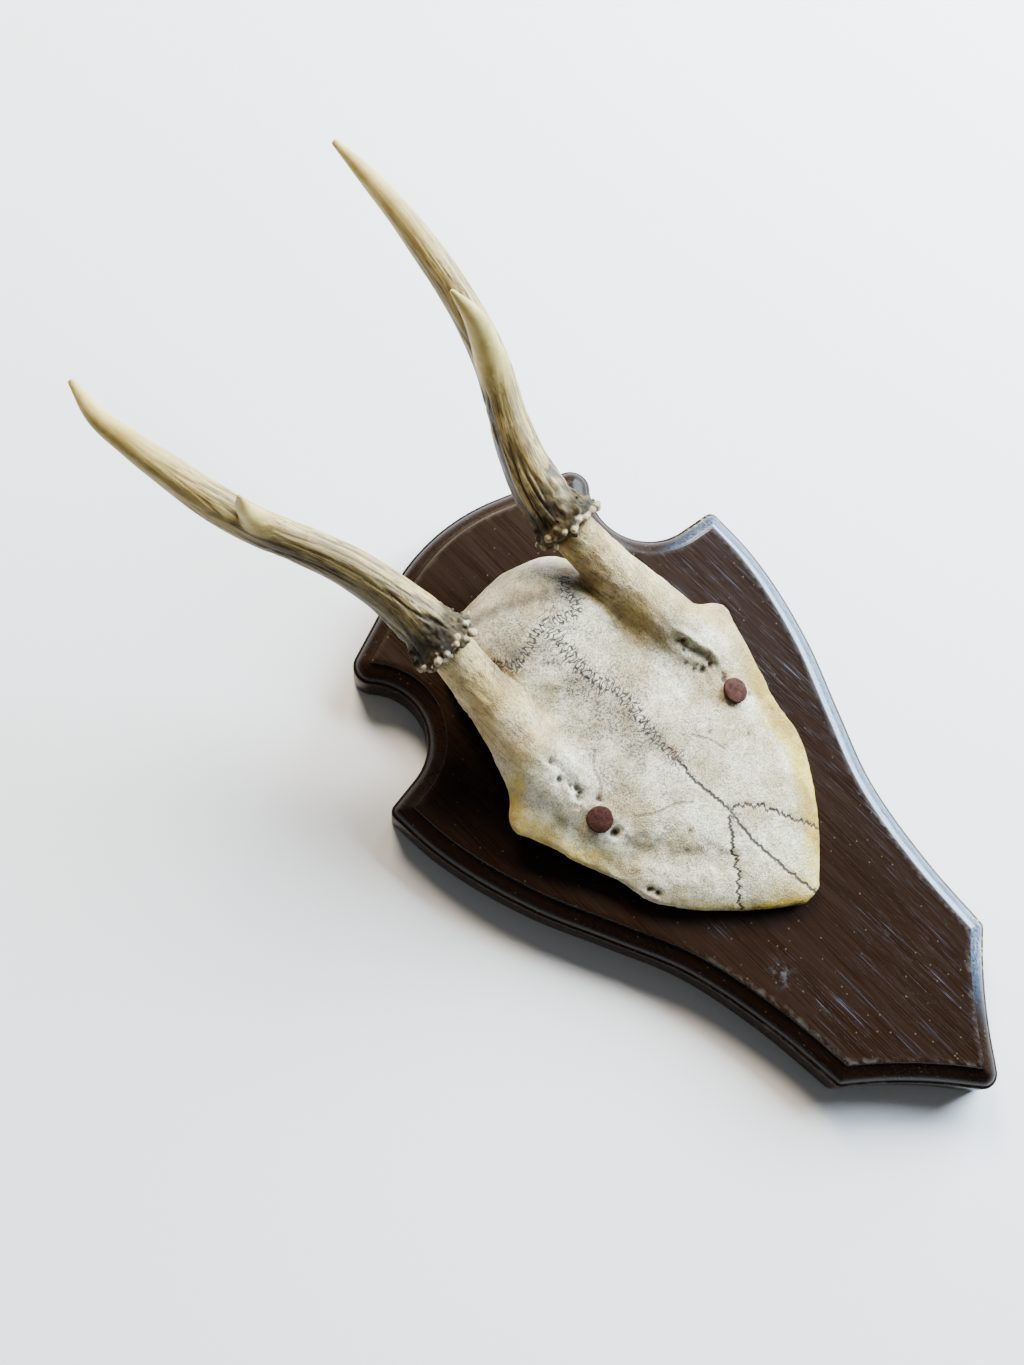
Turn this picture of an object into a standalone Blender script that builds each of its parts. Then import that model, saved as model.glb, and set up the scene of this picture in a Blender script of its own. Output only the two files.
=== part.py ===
"""Roe deer antler mount: a skull plate with two forked antlers, nailed to a moulded wooden shield.

The mount lies on its back: the shield's back face is at Z = 0, +Y points to the top of the shield
and +Z points away from the wall it would hang on. Left and right are the viewer's.
All driving dimensions are in millimetres and MM turns them into metres.
"""
import math

import bmesh
import bpy
import numpy as np
from mathutils import Matrix, Vector

MM = 0.001
CLEARANCE = 0.3          # gap kept between pieces that touch

# Shield
WALL_HEIGHT = 10.5       # plain side wall, up to the moulding
FACE_HEIGHT = 15.5       # flat front face
CROWN_TOP = 109.8        # top of the crown above the middle of the back
CROWN_RADIUS = 62.0
CROWN_TURN = math.radians(19.8)
EAR_RADIUS = 5.6
NOTCH_CENTRE = (57.0, 78.0)
NOTCH_RADIUS = 17.0
NOTCH_END = math.radians(262)
SHOULDER = (66.3, 59.5)
LOWER_CORNER = (31.2, -78.3)
TIP_Y = -111.5
CORNER_RADIUS = 2.6
TIP_RADIUS = 4.5
LONG_SIDE = [SHOULDER, (65.3, 43.0), (57.3, 12.5), (47.6, -9.0), (39.6, -27.0), (33.4, -55.0), LOWER_CORNER]
BOTTOM_BOW = 1.9         # how far the bottom edges are hollowed
BACK_BEVEL = 0.5
# Moulding profile from the wall's top edge inwards: inset and height
MOULDING = [(0.0, WALL_HEIGHT), (0.8, WALL_HEIGHT + 0.35), (1.3, 11.8), (2.6, 13.05), (4.4, 14.05),
            (5.0, 14.3), (5.3, 15.3), (5.7, FACE_HEIGHT)]

# Skull frame: starts at the nasal tip and leans a little to the left of the shield's long axis
SKULL_ORIGIN = (-0.2, -38.0)
SKULL_TURN = math.radians(2.5)
SKULL_LENGTH = 124.0
SHELL = 3.2              # thickness of the bone
RIM = 1.6                # least thickness of the bone at its cut edge
SKULL_FOOT = FACE_HEIGHT + 0.6
# Half width, ridge height and edge height against the distance from the nasal tip
HALF_WIDTH = [(0, 3.0), (6, 10.5), (18, 22.6), (31, 31.8), (42, 34.2), (58, 40.0), (66, 42.6), (70.5, 44.3),
              (73.5, 43.2), (77, 39.6), (84, 33.5), (98, 29.5), (112, 25.5), (119, 20.5), (SKULL_LENGTH, 9.0)]
RIDGE = [(0, 19.8), (10, 22.6), (32, 26.4), (58, 30.0), (80, 33.6), (103, 38.5), (113, 36.0), (120, 29.0),
         (SKULL_LENGTH, 20.5)]
EDGE = [(0, 19.0), (18, 19.6), (32, 20.4), (50, 22.4), (68, 24.5), (80, 25.5), (92, 24.0), (108, 21.0),
        (SKULL_LENGTH, 19.4)]
DOME = 3.0               # how sharply the bone falls from its ridge to its edge
GROOVE = [(25.0, 75.0), (27.0, 62.0)]    # hollow between brow and pedicle
GROOVE_DEPTH = 2.4
GROOVE_WIDTH = 2.6
BROW = (38.0, 64.0)      # centre of the raised rim over the eye
BROW_SPREAD = (4.0, 9.0)
BROW_RISE = 1.4

# Pedicles and antlers, in the skull frame, for the right side: across, along, height, radius
PEDICLE = [(27.5, 66.0, 19.0, 12.0), (27.0, 78.0, 26.5, 10.2), (25.8, 90.0, 32.6, 8.3),
           (24.6, 102.0, 37.4, 6.9), (24.0, 114.4, 42.0, 6.2)]
STEM_LIFT = 1.0          # underside of a pedicle's root above the foot of the bone
BURR_AXIS = (0.0, 0.915, 0.403)    # normal of the joint between pedicle and burr
BEAM_RIGHT = [(24.0, 114.9, 42.2, 6.2), (24.1, 125.5, 47.0, 7.4), (26.5, 136.5, 52.3, 6.2),
              (30.5, 146.0, 57.0, 5.4), (35.2, 155.0, 61.5, 5.1), (38.9, 164.6, 65.2, 4.7),
              (41.7, 175.1, 68.4, 4.4), (43.9, 187.0, 71.5, 4.15), (45.6, 199.5, 74.5, 3.5),
              (46.6, 212.5, 77.0, 2.6), (47.1, 226.0, 79.0, 0.9)]
BEAM_LEFT = [(-24.0, 114.9, 42.2, 6.2), (-25.0, 124.5, 47.0, 7.0), (-26.6, 134.5, 52.0, 6.0),
             (-30.0, 145.8, 57.0, 5.4), (-34.9, 156.3, 61.2, 5.0), (-39.8, 165.5, 64.6, 4.9),
             (-44.0, 177.2, 68.3, 4.8), (-46.9, 190.4, 71.9, 4.2), (-49.0, 201.4, 74.6, 3.4),
             (-50.2, 211.5, 77.0, 2.6), (-48.4, 222.0, 79.0, 0.9)]
TINE_RIGHT = [(28.5, 141.5, 54.4, 4.3), (32.5, 150.5, 60.2, 4.5), (35.6, 158.5, 68.0, 4.1),
              (36.2, 164.2, 76.0, 3.0), (33.5, 170.9, 86.0, 0.6)]
TINE_LEFT = [(-33.5, 155.0, 60.5, 4.0), (-37.5, 162.3, 64.8, 4.0), (-40.6, 166.8, 70.5, 3.2),
             (-42.3, 168.3, 78.0, 1.9), (-42.9, 168.1, 86.0, 0.6)]
TINE_SPLIT = 0.62        # where along its length a tine is parted from its beam
BURR_PLACE = 2.4         # middle of the burr along the beam
BURR_SPREAD = 2.56
BURR_SWELL = 3.6
PEARLS = 13              # lumps around the burr
PEARL_SIZE = 1.3
PEARL_SLANT = 1.3
FURROWS = 7              # pairs of furrows around the beam
FURROW_DEPTH = 0.45
FURROW_START = 6.0       # length over which the furrows begin
FURROW_PLACE = 26.0      # where along the beam they are deepest
FURROW_SPREAD = 34.0
FURROW_SWAY = (0.9, 11.0)          # turn of the furrows' waves and the length of one

# Nails, in the skull frame
NAILS = {"nail_left": (-26.9, 56.0), "nail_right": (25.7, 52.8)}
NAIL_HEAD_RADIUS = 3.7
NAIL_HEAD_THICKNESS = 1.3
NAIL_SHANK_RADIUS = 1.1
NAIL_POINT = 3.0         # length of the tapered point
NAIL_POINT_RADIUS = 0.3
NAIL_DEPTH = 9.5         # how far the shank goes into the board
NAIL_LIFT = 0.75         # underside of the head above the bone
BORE_RISE = 4.0          # how far the cutter for the shank's hole stands above the bone

# Mesh density
CROWN_POINTS, EAR_POINTS, NOTCH_POINTS, SIDE_POINTS, BOTTOM_POINTS = 5, 5, 8, 14, 5
CORNER_POINTS, TIP_POINTS = 3, 5
CURVE_POINTS = 400
SHELL_ROWS, SHELL_COLUMNS = 46, 33
STEM_RINGS, STEM_SIDES = 14, 20
BEAM_RINGS, BEAM_SIDES = 30, 20
BEAM_BUNCHING = 1.35     # sets the beam's rings closer together towards the burr
TINE_ROOT_RINGS, TINE_RINGS, TINE_SIDES = 7, 9, 14
NAIL_SIDES, BORE_SIDES = 18, 12
SKIN_SIZE = 1.25         # grain of the skin that fuses the skull with its pedicles
SKIN_EASE, SKIN_ROUNDS = 0.5, 4
SKIN_KEPT = 0.115        # share of the skin's triangles that stays


def clear_scene():
    for thing in list(bpy.data.objects):
        bpy.data.objects.remove(thing, do_unlink=True)


def material(name, colour, roughness):
    made = bpy.data.materials.new(name)
    made.use_nodes = True
    shader = made.node_tree.nodes["Principled BSDF"]
    shader.inputs["Base Color"].default_value = (*colour, 1.0)
    shader.inputs["Roughness"].default_value = roughness
    shader.inputs["Metallic"].default_value = 0.0
    return made


def add_object(name, mesh, look=None, parent=None):
    made = bpy.data.objects.new(name, mesh)
    bpy.context.scene.collection.objects.link(made)
    if look is not None:
        mesh.materials.append(look)
    made.parent = parent
    return made


def mesh_from(name, points, faces):
    mesh = bpy.data.meshes.new(name)
    mesh.from_pydata([tuple(float(c) * MM for c in point) for point in points], [], faces)
    shape = bmesh.new()
    shape.from_mesh(mesh)
    bmesh.ops.remove_doubles(shape, verts=shape.verts, dist=0.02 * MM)
    bmesh.ops.recalc_face_normals(shape, faces=shape.faces)
    shape.to_mesh(mesh)
    shape.free()
    return mesh


def spline(knots, where):
    """Catmull-Rom value at each place, for knots given as (place, value)."""
    xs = np.array([knot[0] for knot in knots], float)
    ys = np.array([knot[1] for knot in knots], float)
    slopes = np.gradient(ys, xs)
    where = np.clip(np.asarray(where, float), xs[0], xs[-1])
    i = np.clip(np.searchsorted(xs, where) - 1, 0, len(xs) - 2)
    span = xs[i + 1] - xs[i]
    t = (where - xs[i]) / span
    start = (2 * t ** 3 - 3 * t ** 2 + 1) * ys[i] + (t ** 3 - 2 * t ** 2 + t) * span * slopes[i]
    return start + (3 * t ** 2 - 2 * t ** 3) * ys[i + 1] + (t ** 3 - t ** 2) * span * slopes[i + 1]


def curve_through(knots, count):
    """Evenly numbered points on a smooth curve through knots of any dimension."""
    knots = np.array(knots, float)
    steps = np.linalg.norm(np.diff(knots[:, :3], axis=0), axis=1)
    places = np.concatenate([[0], np.cumsum(steps)])
    where = np.linspace(0, places[-1], count)
    return np.column_stack([spline(list(zip(places, knots[:, k])), where) for k in range(knots.shape[1])])


def arc(centre, radius, start, end, count):
    turns = np.linspace(start, end, count)
    return np.column_stack([centre[0] + radius * np.cos(turns), centre[1] + radius * np.sin(turns)])


def rounded(points, radius, count):
    """The first and second line of points, joined by an arc in place of their shared corner."""
    before, after = points
    corner = before[-1]
    back = before[-2] - corner
    ahead = after[1] - corner
    back = back / np.linalg.norm(back)
    ahead = ahead / np.linalg.norm(ahead)
    half = math.acos(float(np.clip(back @ ahead, -1, 1))) / 2
    reach = radius / math.tan(half)
    bisector = (back + ahead) / np.linalg.norm(back + ahead)
    centre = corner + bisector * (radius / math.sin(half))
    first = corner + back * reach
    last = corner + ahead * reach
    start = math.atan2(*(first - centre)[::-1])
    sweep = math.atan2(*(last - centre)[::-1]) - start
    sweep = (sweep + math.pi) % (2 * math.pi) - math.pi
    bend = arc(centre, radius, start, start + sweep, count)
    cleared = reach * 1.3
    kept_before = before[np.linalg.norm(before - corner, axis=1) > cleared]
    kept_after = after[np.linalg.norm(after - corner, axis=1) > cleared]
    return kept_before, bend, kept_after


def ear_arc(count):
    """The round ear between the crown's straight end and the notch, touching both."""
    slope = -math.tan(CROWN_TURN)
    joint = np.array([CROWN_RADIUS * math.sin(CROWN_TURN),
                      CROWN_TOP - CROWN_RADIUS * (1 - math.cos(CROWN_TURN))])
    drop = EAR_RADIUS / math.cos(CROWN_TURN)
    base = joint[1] - slope * joint[0] - drop
    a = 1 + slope ** 2
    b = -2 * NOTCH_CENTRE[0] + 2 * slope * (base - NOTCH_CENTRE[1])
    c = NOTCH_CENTRE[0] ** 2 + (base - NOTCH_CENTRE[1]) ** 2 - (NOTCH_RADIUS + EAR_RADIUS) ** 2
    x = (-b - math.sqrt(b * b - 4 * a * c)) / (2 * a)
    centre = np.array([x, slope * x + base])
    towards_notch = math.atan2(NOTCH_CENTRE[1] - centre[1], NOTCH_CENTRE[0] - centre[0])
    return arc(centre, EAR_RADIUS, math.pi / 2 - CROWN_TURN, towards_notch, count), towards_notch


def right_half():
    """Right half of the shield's outline from the top to the tip, in millimetres."""
    crown_centre = (0, CROWN_TOP - CROWN_RADIUS)
    crown = arc(crown_centre, CROWN_RADIUS, math.pi / 2, math.pi / 2 - CROWN_TURN, CROWN_POINTS)
    ear, towards_notch = ear_arc(EAR_POINTS)
    notch = arc(NOTCH_CENTRE, NOTCH_RADIUS, towards_notch + math.pi, NOTCH_END, NOTCH_POINTS)[1:]
    notch = np.vstack([notch, [SHOULDER]])
    side = curve_through(LONG_SIDE, SIDE_POINTS)
    along = np.linspace(0, 1, BOTTOM_POINTS)[:, None]
    tip = np.array([0.0, TIP_Y])
    chord = tip - side[-1]
    inwards = np.array([chord[1], -chord[0]]) / np.linalg.norm(chord)
    bottom = side[-1] + along * chord + 4 * along * (1 - along) * BOTTOM_BOW * inwards
    mirrored_bottom = bottom[::-1] * np.array([-1, 1])
    notch, shoulder, side = rounded((notch, side), CORNER_RADIUS, CORNER_POINTS)
    side, lower, bottom = rounded((side, bottom), CORNER_RADIUS, CORNER_POINTS)
    bottom, point, _ = rounded((bottom, mirrored_bottom), TIP_RADIUS, TIP_POINTS)
    point = point[:TIP_POINTS // 2 + 1]
    return np.vstack([crown, ear, notch, shoulder, side, lower, bottom, point])


def shield_outline():
    half = right_half()
    return np.vstack([half, half[-2:0:-1] * np.array([-1, 1])])


def inset(outline, distance, slack=0.04):
    """The outline moved inwards, with the loops that this makes at tight corners pulled to one point."""
    if distance == 0:
        return outline.copy()
    ahead = np.roll(outline, -1, axis=0) - outline
    ahead /= np.linalg.norm(ahead, axis=1)[:, None]
    mean = ahead + np.roll(ahead, 1, axis=0)
    mean /= np.linalg.norm(mean, axis=1)[:, None]
    stretch = 1 / np.clip(np.sum(mean * ahead, axis=1), 0.5, 1)
    moved = outline + np.column_stack([mean[:, 1], -mean[:, 0]]) * (distance * stretch)[:, None]
    good = distances(moved, outline) > distance - slack
    count = len(moved)
    start = int(np.argmax(good))
    i = 0
    while i < count:
        here = (start + i) % count
        if good[here]:
            i += 1
            continue
        run = 0
        while not good[(start + i + run) % count]:
            run += 1
        a, b = moved[(here - 2) % count], moved[(here - 1) % count]
        c, d = moved[(here + run) % count], moved[(here + run + 1) % count]
        meet = crossing(a, b, c, d)
        for k in range(run):
            moved[(here + k) % count] = meet
        i += run
    return moved


def distances(points, outline):
    start = outline[None]
    span = (np.roll(outline, -1, axis=0) - outline)[None]
    share = np.sum((points[:, None] - start) * span, axis=2) / np.sum(span ** 2, axis=2)
    share = np.clip(share, 0, 1)
    return np.min(np.linalg.norm(points[:, None] - start - share[..., None] * span, axis=2), axis=1)


def crossing(a, b, c, d):
    """Where the line through a and b meets the line through c and d."""
    first, second = b - a, d - c
    turn = first[0] * second[1] - first[1] * second[0]
    parallel = 1e-6
    if abs(turn) < parallel:
        return (b + c) / 2
    share = ((c - a)[0] * second[1] - (c - a)[1] * second[0]) / turn
    return a + first * share


def build_shield():
    outline = shield_outline()
    levels = [(BACK_BEVEL, 0.0), (0.0, BACK_BEVEL)] + MOULDING
    rings = []
    for away, height in levels:
        rings.append(np.column_stack([inset(outline, away), np.full(len(outline), height)]))
    look = material("stained_oak", (0.030, 0.017, 0.010), 0.38)
    return add_object("shield", mesh_from("shield", *closed_tube(rings)), look)


def closed_tube(rings):
    """Points and faces of a stack of rings of equal count, with a flat face at each end."""
    around = len(rings[0])
    faces = []
    for i in range(len(rings) - 1):
        for j in range(around):
            k = (j + 1) % around
            faces.append((i * around + j, i * around + k, (i + 1) * around + k, (i + 1) * around + j))
    faces.append(list(range(around)))
    faces.append([(len(rings) - 1) * around + k for k in range(around)])
    return np.vstack(rings), faces


def skull_height(across, along):
    """Height of the bone's outer surface over the back of the shield."""
    width = spline(HALF_WIDTH, along)
    share = np.clip(np.abs(across) / width, 0, 1)
    ridge = spline(RIDGE, along)
    height = ridge + (spline(EDGE, along) - ridge) * share ** DOME
    (a0, b0), (a1, b1) = GROOVE
    t = np.clip((b0 - along) / (b0 - b1), 0, 1)
    off = np.hypot(np.abs(across) - (a0 + (a1 - a0) * t), along - (b0 + (b1 - b0) * t))
    height = height - GROOVE_DEPTH * np.exp(-(off / GROOVE_WIDTH) ** 2)
    brow = np.hypot((np.abs(across) - BROW[0]) / BROW_SPREAD[0], (along - BROW[1]) / BROW_SPREAD[1])
    return height + BROW_RISE * np.exp(-brow ** 2)


def skull_shell(rows, columns):
    """Closed shell: an outer sheet, an inner sheet and the cut edge between them."""
    along = np.linspace(0, SKULL_LENGTH, rows)
    share = np.linspace(-1, 1, columns)
    b, s = np.meshgrid(along, share, indexing="ij")
    a = s * spline(HALF_WIDTH, b)
    outer = skull_height(a, b)
    inner = np.maximum(outer - SHELL, SKULL_FOOT)
    outer = np.maximum(outer, inner + RIM)
    points = np.vstack([np.column_stack([a.ravel(), b.ravel(), z.ravel()]) for z in (outer, inner)])
    count = rows * columns
    faces = []
    for i in range(rows - 1):
        for j in range(columns - 1):
            k = i * columns + j
            faces.append((k, k + 1, k + columns + 1, k + columns))
            faces.append((count + k, count + k + columns, count + k + columns + 1, count + k + 1))
    rim = list(range(columns))
    rim += [i * columns + columns - 1 for i in range(1, rows)]
    rim += [(rows - 1) * columns + j for j in range(columns - 2, -1, -1)]
    rim += [i * columns for i in range(rows - 2, 0, -1)]
    for n, k in enumerate(rim):
        ahead = rim[(n + 1) % len(rim)]
        faces.append((k, count + k, count + ahead, ahead))
    return points, faces


def frames_along(path, first_axis=None, last_axis=None):
    """Tangent and two side directions at each point, turned as little as possible."""
    tangents = np.gradient(path, axis=0)
    if first_axis is not None:
        tangents[0] = first_axis
    if last_axis is not None:
        tangents[-1] = last_axis
    tangents /= np.linalg.norm(tangents, axis=1)[:, None]
    side = np.array([1.0, 0.0, 0.0])
    result = []
    for tangent in tangents:
        side = side - tangent * (side @ tangent)
        side /= np.linalg.norm(side)
        result.append((tangent, side, np.cross(tangent, side)))
    return result


def loft(knots, rings, around, swell=None, share=(0.0, 1.0), first_axis=None, last_axis=None):
    """Closed tube along the knots. swell changes the radius by length along and turn around."""
    path = curve_through(knots, CURVE_POINTS)
    last = CURVE_POINTS - 1
    path = path[int(share[0] * last):int(share[1] * last) + 1]
    lengths = np.concatenate([[0], np.cumsum(np.linalg.norm(np.diff(path[:, :3], axis=0), axis=1))])
    where = np.linspace(0, lengths[-1], rings)
    if swell is not None:
        where = lengths[-1] * np.linspace(0, 1, rings) ** BEAM_BUNCHING
    middle = np.column_stack([np.interp(where, lengths, path[:, k]) for k in range(3)])
    radius = np.interp(where, lengths, path[:, 3])
    turns = np.linspace(0, 2 * math.pi, around, endpoint=False)
    frames = frames_along(middle, first_axis, last_axis)
    loops = []
    for at, centre, size, (_, side, up) in zip(where, middle, radius, frames):
        grown = size + (swell(at, turns) if swell is not None else 0)
        out = (grown * np.cos(turns))[:, None] * side + (grown * np.sin(turns))[:, None] * up
        loops.append(centre + out)
    return closed_tube(loops)


def antler_swell(at, turns):
    """Burr with its pearls at the base, and furrows that fade towards the tip."""
    burr = BURR_SWELL * math.exp(-((at - BURR_PLACE) / BURR_SPREAD) ** 2)
    pearls = PEARL_SIZE * burr / BURR_SWELL * np.cos(PEARLS * turns + PEARL_SLANT * at)
    fade = math.exp(-((at - FURROW_PLACE) / FURROW_SPREAD) ** 2) * min(1.0, at / FURROW_START)
    sway = FURROW_SWAY[0] * math.sin(at / FURROW_SWAY[1])
    furrows = -FURROW_DEPTH * fade * np.cos(FURROWS * turns + sway) ** 2
    return burr + pearls + furrows


def combine(thing, other, operation):
    """Joins the other solid to the thing or cuts it away, and hides it from renders."""
    step = thing.modifiers.new(operation.lower(), "BOOLEAN")
    step.operation = operation
    step.solver = "EXACT"
    step.object = other
    other.hide_render = True
    other.display_type = "WIRE"


def build_skull(frame):
    look = material("skull_bone", (0.72, 0.66, 0.52), 0.6)
    parts = [skull_shell(SHELL_ROWS, SHELL_COLUMNS)]
    for sign in (-1, 1):
        knots = [(sign * a, b, z, r) for a, b, z, r in PEDICLE]
        stem, stem_faces = loft(knots, STEM_RINGS, STEM_SIDES, last_axis=BURR_AXIS)
        stem[:, 2] = np.maximum(stem[:, 2], SKULL_FOOT + STEM_LIFT)
        parts.append((stem, stem_faces))
    points, faces = [], []
    for some_points, some_faces in parts:
        shift = sum(len(block) for block in points)
        points.append(some_points)
        faces += [tuple(k + shift for k in face) for face in some_faces]
    mesh = mesh_from("skull_plate", np.vstack(points), faces)
    skull = add_object("skull_plate", mesh, look, frame)
    skin = skull.modifiers.new("skin", "REMESH")
    skin.mode = "VOXEL"
    skin.voxel_size = SKIN_SIZE * MM
    ease = skull.modifiers.new("ease", "SMOOTH")
    ease.factor = SKIN_EASE
    ease.iterations = SKIN_ROUNDS
    thin = skull.modifiers.new("lighten", "DECIMATE")
    thin.ratio = SKIN_KEPT
    return skull


def build_antler(side, beam_knots, tine_knots, frame, look):
    tube = loft(beam_knots, BEAM_RINGS, BEAM_SIDES, antler_swell, first_axis=BURR_AXIS)
    beam = add_object("antler_%s_beam" % side, mesh_from("beam", *tube), look, frame)
    stub = loft(tine_knots, TINE_ROOT_RINGS, TINE_SIDES, share=(0, TINE_SPLIT))
    root = add_object("root_%s" % side, mesh_from("root", *stub), None, frame)
    combine(beam, root, "UNION")
    length = sum(math.dist(a[:3], b[:3]) for a, b in zip(tine_knots, tine_knots[1:]))
    start = TINE_SPLIT + 2 * CLEARANCE / length
    tine = loft(tine_knots, TINE_RINGS, TINE_SIDES, share=(start, 1))
    add_object("antler_%s_tine" % side, mesh_from("tine", *tine), look, frame)


def turned(profile, around):
    """A turned solid from (radius, height) pairs, with flat ends."""
    turns = np.linspace(0, 2 * math.pi, around, endpoint=False)
    circle = np.column_stack([np.cos(turns), np.sin(turns)])
    return closed_tube([np.column_stack([r * circle, np.full(around, z)]) for r, z in profile])


def surface_normal(across, along, reach=1.0):
    rise_a = skull_height(across + reach, along) - skull_height(across - reach, along)
    rise_b = skull_height(across, along + reach) - skull_height(across, along - reach)
    return Vector((-float(rise_a), -float(rise_b), 2 * reach)).normalized()


def build_nails(frame, skull, shield):
    look = material("nail_rust", (0.12, 0.055, 0.04), 0.7)
    for name, (across, along) in NAILS.items():
        height = float(skull_height(across, along))
        tilt = surface_normal(across, along).to_track_quat("Z", "Y").to_matrix().to_4x4()
        place = Matrix.Translation(Vector((across, along, height)) * MM) @ tilt
        bottom = -(height - FACE_HEIGHT) - NAIL_DEPTH
        top = NAIL_LIFT + NAIL_HEAD_THICKNESS
        profile = [(NAIL_POINT_RADIUS, bottom), (NAIL_SHANK_RADIUS, bottom + NAIL_POINT),
                   (NAIL_SHANK_RADIUS, NAIL_LIFT), (NAIL_HEAD_RADIUS - 0.3, NAIL_LIFT),
                   (NAIL_HEAD_RADIUS, NAIL_LIFT + 0.35), (NAIL_HEAD_RADIUS, top - 0.5),
                   (NAIL_HEAD_RADIUS - 0.6, top)]
        nail = add_object(name, mesh_from(name, *turned(profile, NAIL_SIDES)), look, frame)
        nail.matrix_local = place
        bore_radius = NAIL_SHANK_RADIUS + CLEARANCE
        bore = turned([(bore_radius, bottom - 2 * CLEARANCE), (bore_radius, BORE_RISE)], BORE_SIDES)
        cutter = add_object(name + "_bore", mesh_from("bore", *bore), None, frame)
        cutter.matrix_local = place
        combine(skull, cutter, "DIFFERENCE")
        combine(shield, cutter, "DIFFERENCE")


def main():
    clear_scene()
    frame = add_object("skull_frame", None)
    frame.location = (SKULL_ORIGIN[0] * MM, SKULL_ORIGIN[1] * MM, 0)
    frame.rotation_euler = (0, 0, SKULL_TURN)
    shield = build_shield()
    skull = build_skull(frame)
    antler = material("antler", (0.50, 0.42, 0.30), 0.55)
    build_antler("right", BEAM_RIGHT, TINE_RIGHT, frame, antler)
    build_antler("left", BEAM_LEFT, TINE_LEFT, frame, antler)
    build_nails(frame, skull, shield)


main()
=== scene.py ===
"""Roe deer antler mount: finished surfaces for the skull plate, the antlers, the nails and the shield.

Lengths in the shape code are millimetres and MM turns them into metres. The shield's back is at Z = 0,
+Y points to its top and left and right are the viewer's. The skull has a frame of its own, which starts
at the nasal tip: a is across, b is along from the tip to the back of the head, and z is the height.
"""
import math

import bmesh
import bpy
import numpy as np
from mathutils import Matrix, Vector
from mathutils.geometry import delaunay_2d_cdt


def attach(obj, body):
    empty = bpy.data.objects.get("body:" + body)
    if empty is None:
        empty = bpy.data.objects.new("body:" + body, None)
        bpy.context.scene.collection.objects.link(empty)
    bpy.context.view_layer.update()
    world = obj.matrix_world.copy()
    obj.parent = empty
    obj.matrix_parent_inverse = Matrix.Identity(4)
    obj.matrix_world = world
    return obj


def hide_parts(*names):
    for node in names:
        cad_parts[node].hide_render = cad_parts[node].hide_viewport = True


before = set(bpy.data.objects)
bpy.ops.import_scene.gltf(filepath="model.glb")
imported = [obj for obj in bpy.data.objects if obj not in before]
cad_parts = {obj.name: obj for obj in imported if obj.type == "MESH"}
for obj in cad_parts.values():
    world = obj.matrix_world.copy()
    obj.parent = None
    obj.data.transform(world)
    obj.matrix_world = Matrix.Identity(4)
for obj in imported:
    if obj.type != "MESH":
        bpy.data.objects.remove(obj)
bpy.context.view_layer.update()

MM = 0.001

# Shield, as in the solid
WALL_HEIGHT = 10.5
FACE_HEIGHT = 15.5
CROWN_TOP = 109.8
CROWN_RADIUS = 62.0
CROWN_TURN = math.radians(19.8)
EAR_RADIUS = 5.6
NOTCH_CENTRE = (57.0, 78.0)
NOTCH_RADIUS = 17.0
NOTCH_END = math.radians(262)
SHOULDER = (66.3, 59.5)
LOWER_CORNER = (31.2, -78.3)
TIP_Y = -111.5
CORNER_RADIUS = 2.6
TIP_RADIUS = 4.5
LONG_SIDE = [SHOULDER, (65.3, 43.0), (57.3, 12.5), (47.6, -9.0), (39.6, -27.0), (33.4, -55.0), LOWER_CORNER]
BOTTOM_BOW = 1.9
FACE_INSET = 5.7
# Inset and height up the side and over the moulding, finer than in the solid
PROFILE = [(0.6, 0.0), (0.25, 0.12), (0.05, 0.4), (0.0, 0.9), (0.0, 5.0), (0.0, WALL_HEIGHT - 0.5),
           (0.08, WALL_HEIGHT - 0.15), (0.3, WALL_HEIGHT + 0.05), (0.7, WALL_HEIGHT + 0.22),
           (0.9, WALL_HEIGHT + 0.45), (1.1, 11.5), (1.5, 12.1), (2.2, 12.75), (3.0, 13.3), (3.8, 13.75),
           (4.5, 14.1), (4.9, 14.22), (5.08, 14.35), (5.2, 15.05), (5.34, 15.36), (FACE_INSET, FACE_HEIGHT)]
FACE_GRID = 1.3
OUTLINE_FINENESS = 4
MOULDING_WAVE = 0.35    # unevenness of the moulding
FACE_WAVE = 0.22        # broad dips in the face
FACE_GRAIN = 0.07       # dips along the grain
# Patches of scratches on the face: across, along and half their length
SCUFFS = [(-17.6, -60.0, 15.0), (8.8, -64.0, 15.0), (-22.5, -26.0, 4.0), (42.5, 12.0, 14.0)]
SCUFF_WIDTH = 3.2
SCRATCH_TURN = math.radians(4)

# Skull, as in the solid
SKULL_ORIGIN = (-0.2, -38.0)
SKULL_TURN = math.radians(2.5)
SKULL_LENGTH = 124.0
SHELL = 3.0
SKULL_FOOT = FACE_HEIGHT + 0.4
HALF_WIDTH = [(0, 3.0), (6, 10.5), (18, 22.6), (31, 31.8), (42, 34.2), (58, 40.0), (66, 42.6), (70.5, 44.3),
              (73.5, 43.2), (77, 39.6), (84, 33.5), (98, 29.5), (112, 25.5), (119, 20.5), (SKULL_LENGTH, 9.0)]
RIDGE = [(0, 19.8), (10, 22.6), (32, 26.4), (58, 30.0), (80, 33.6), (103, 38.5), (113, 36.0), (120, 29.0),
         (SKULL_LENGTH, 20.5)]
EDGE = [(0, 19.0), (18, 19.6), (32, 20.4), (50, 22.4), (68, 24.5), (80, 25.5), (92, 24.0), (108, 21.0),
        (SKULL_LENGTH, 19.4)]
GROOVE = [(25.0, 75.0), (27.0, 62.0)]
GROOVE_DEPTH = 2.4
GROOVE_WIDTH = 2.6
BROW = (38.0, 64.0)
BROW_RISE = 1.4
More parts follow.
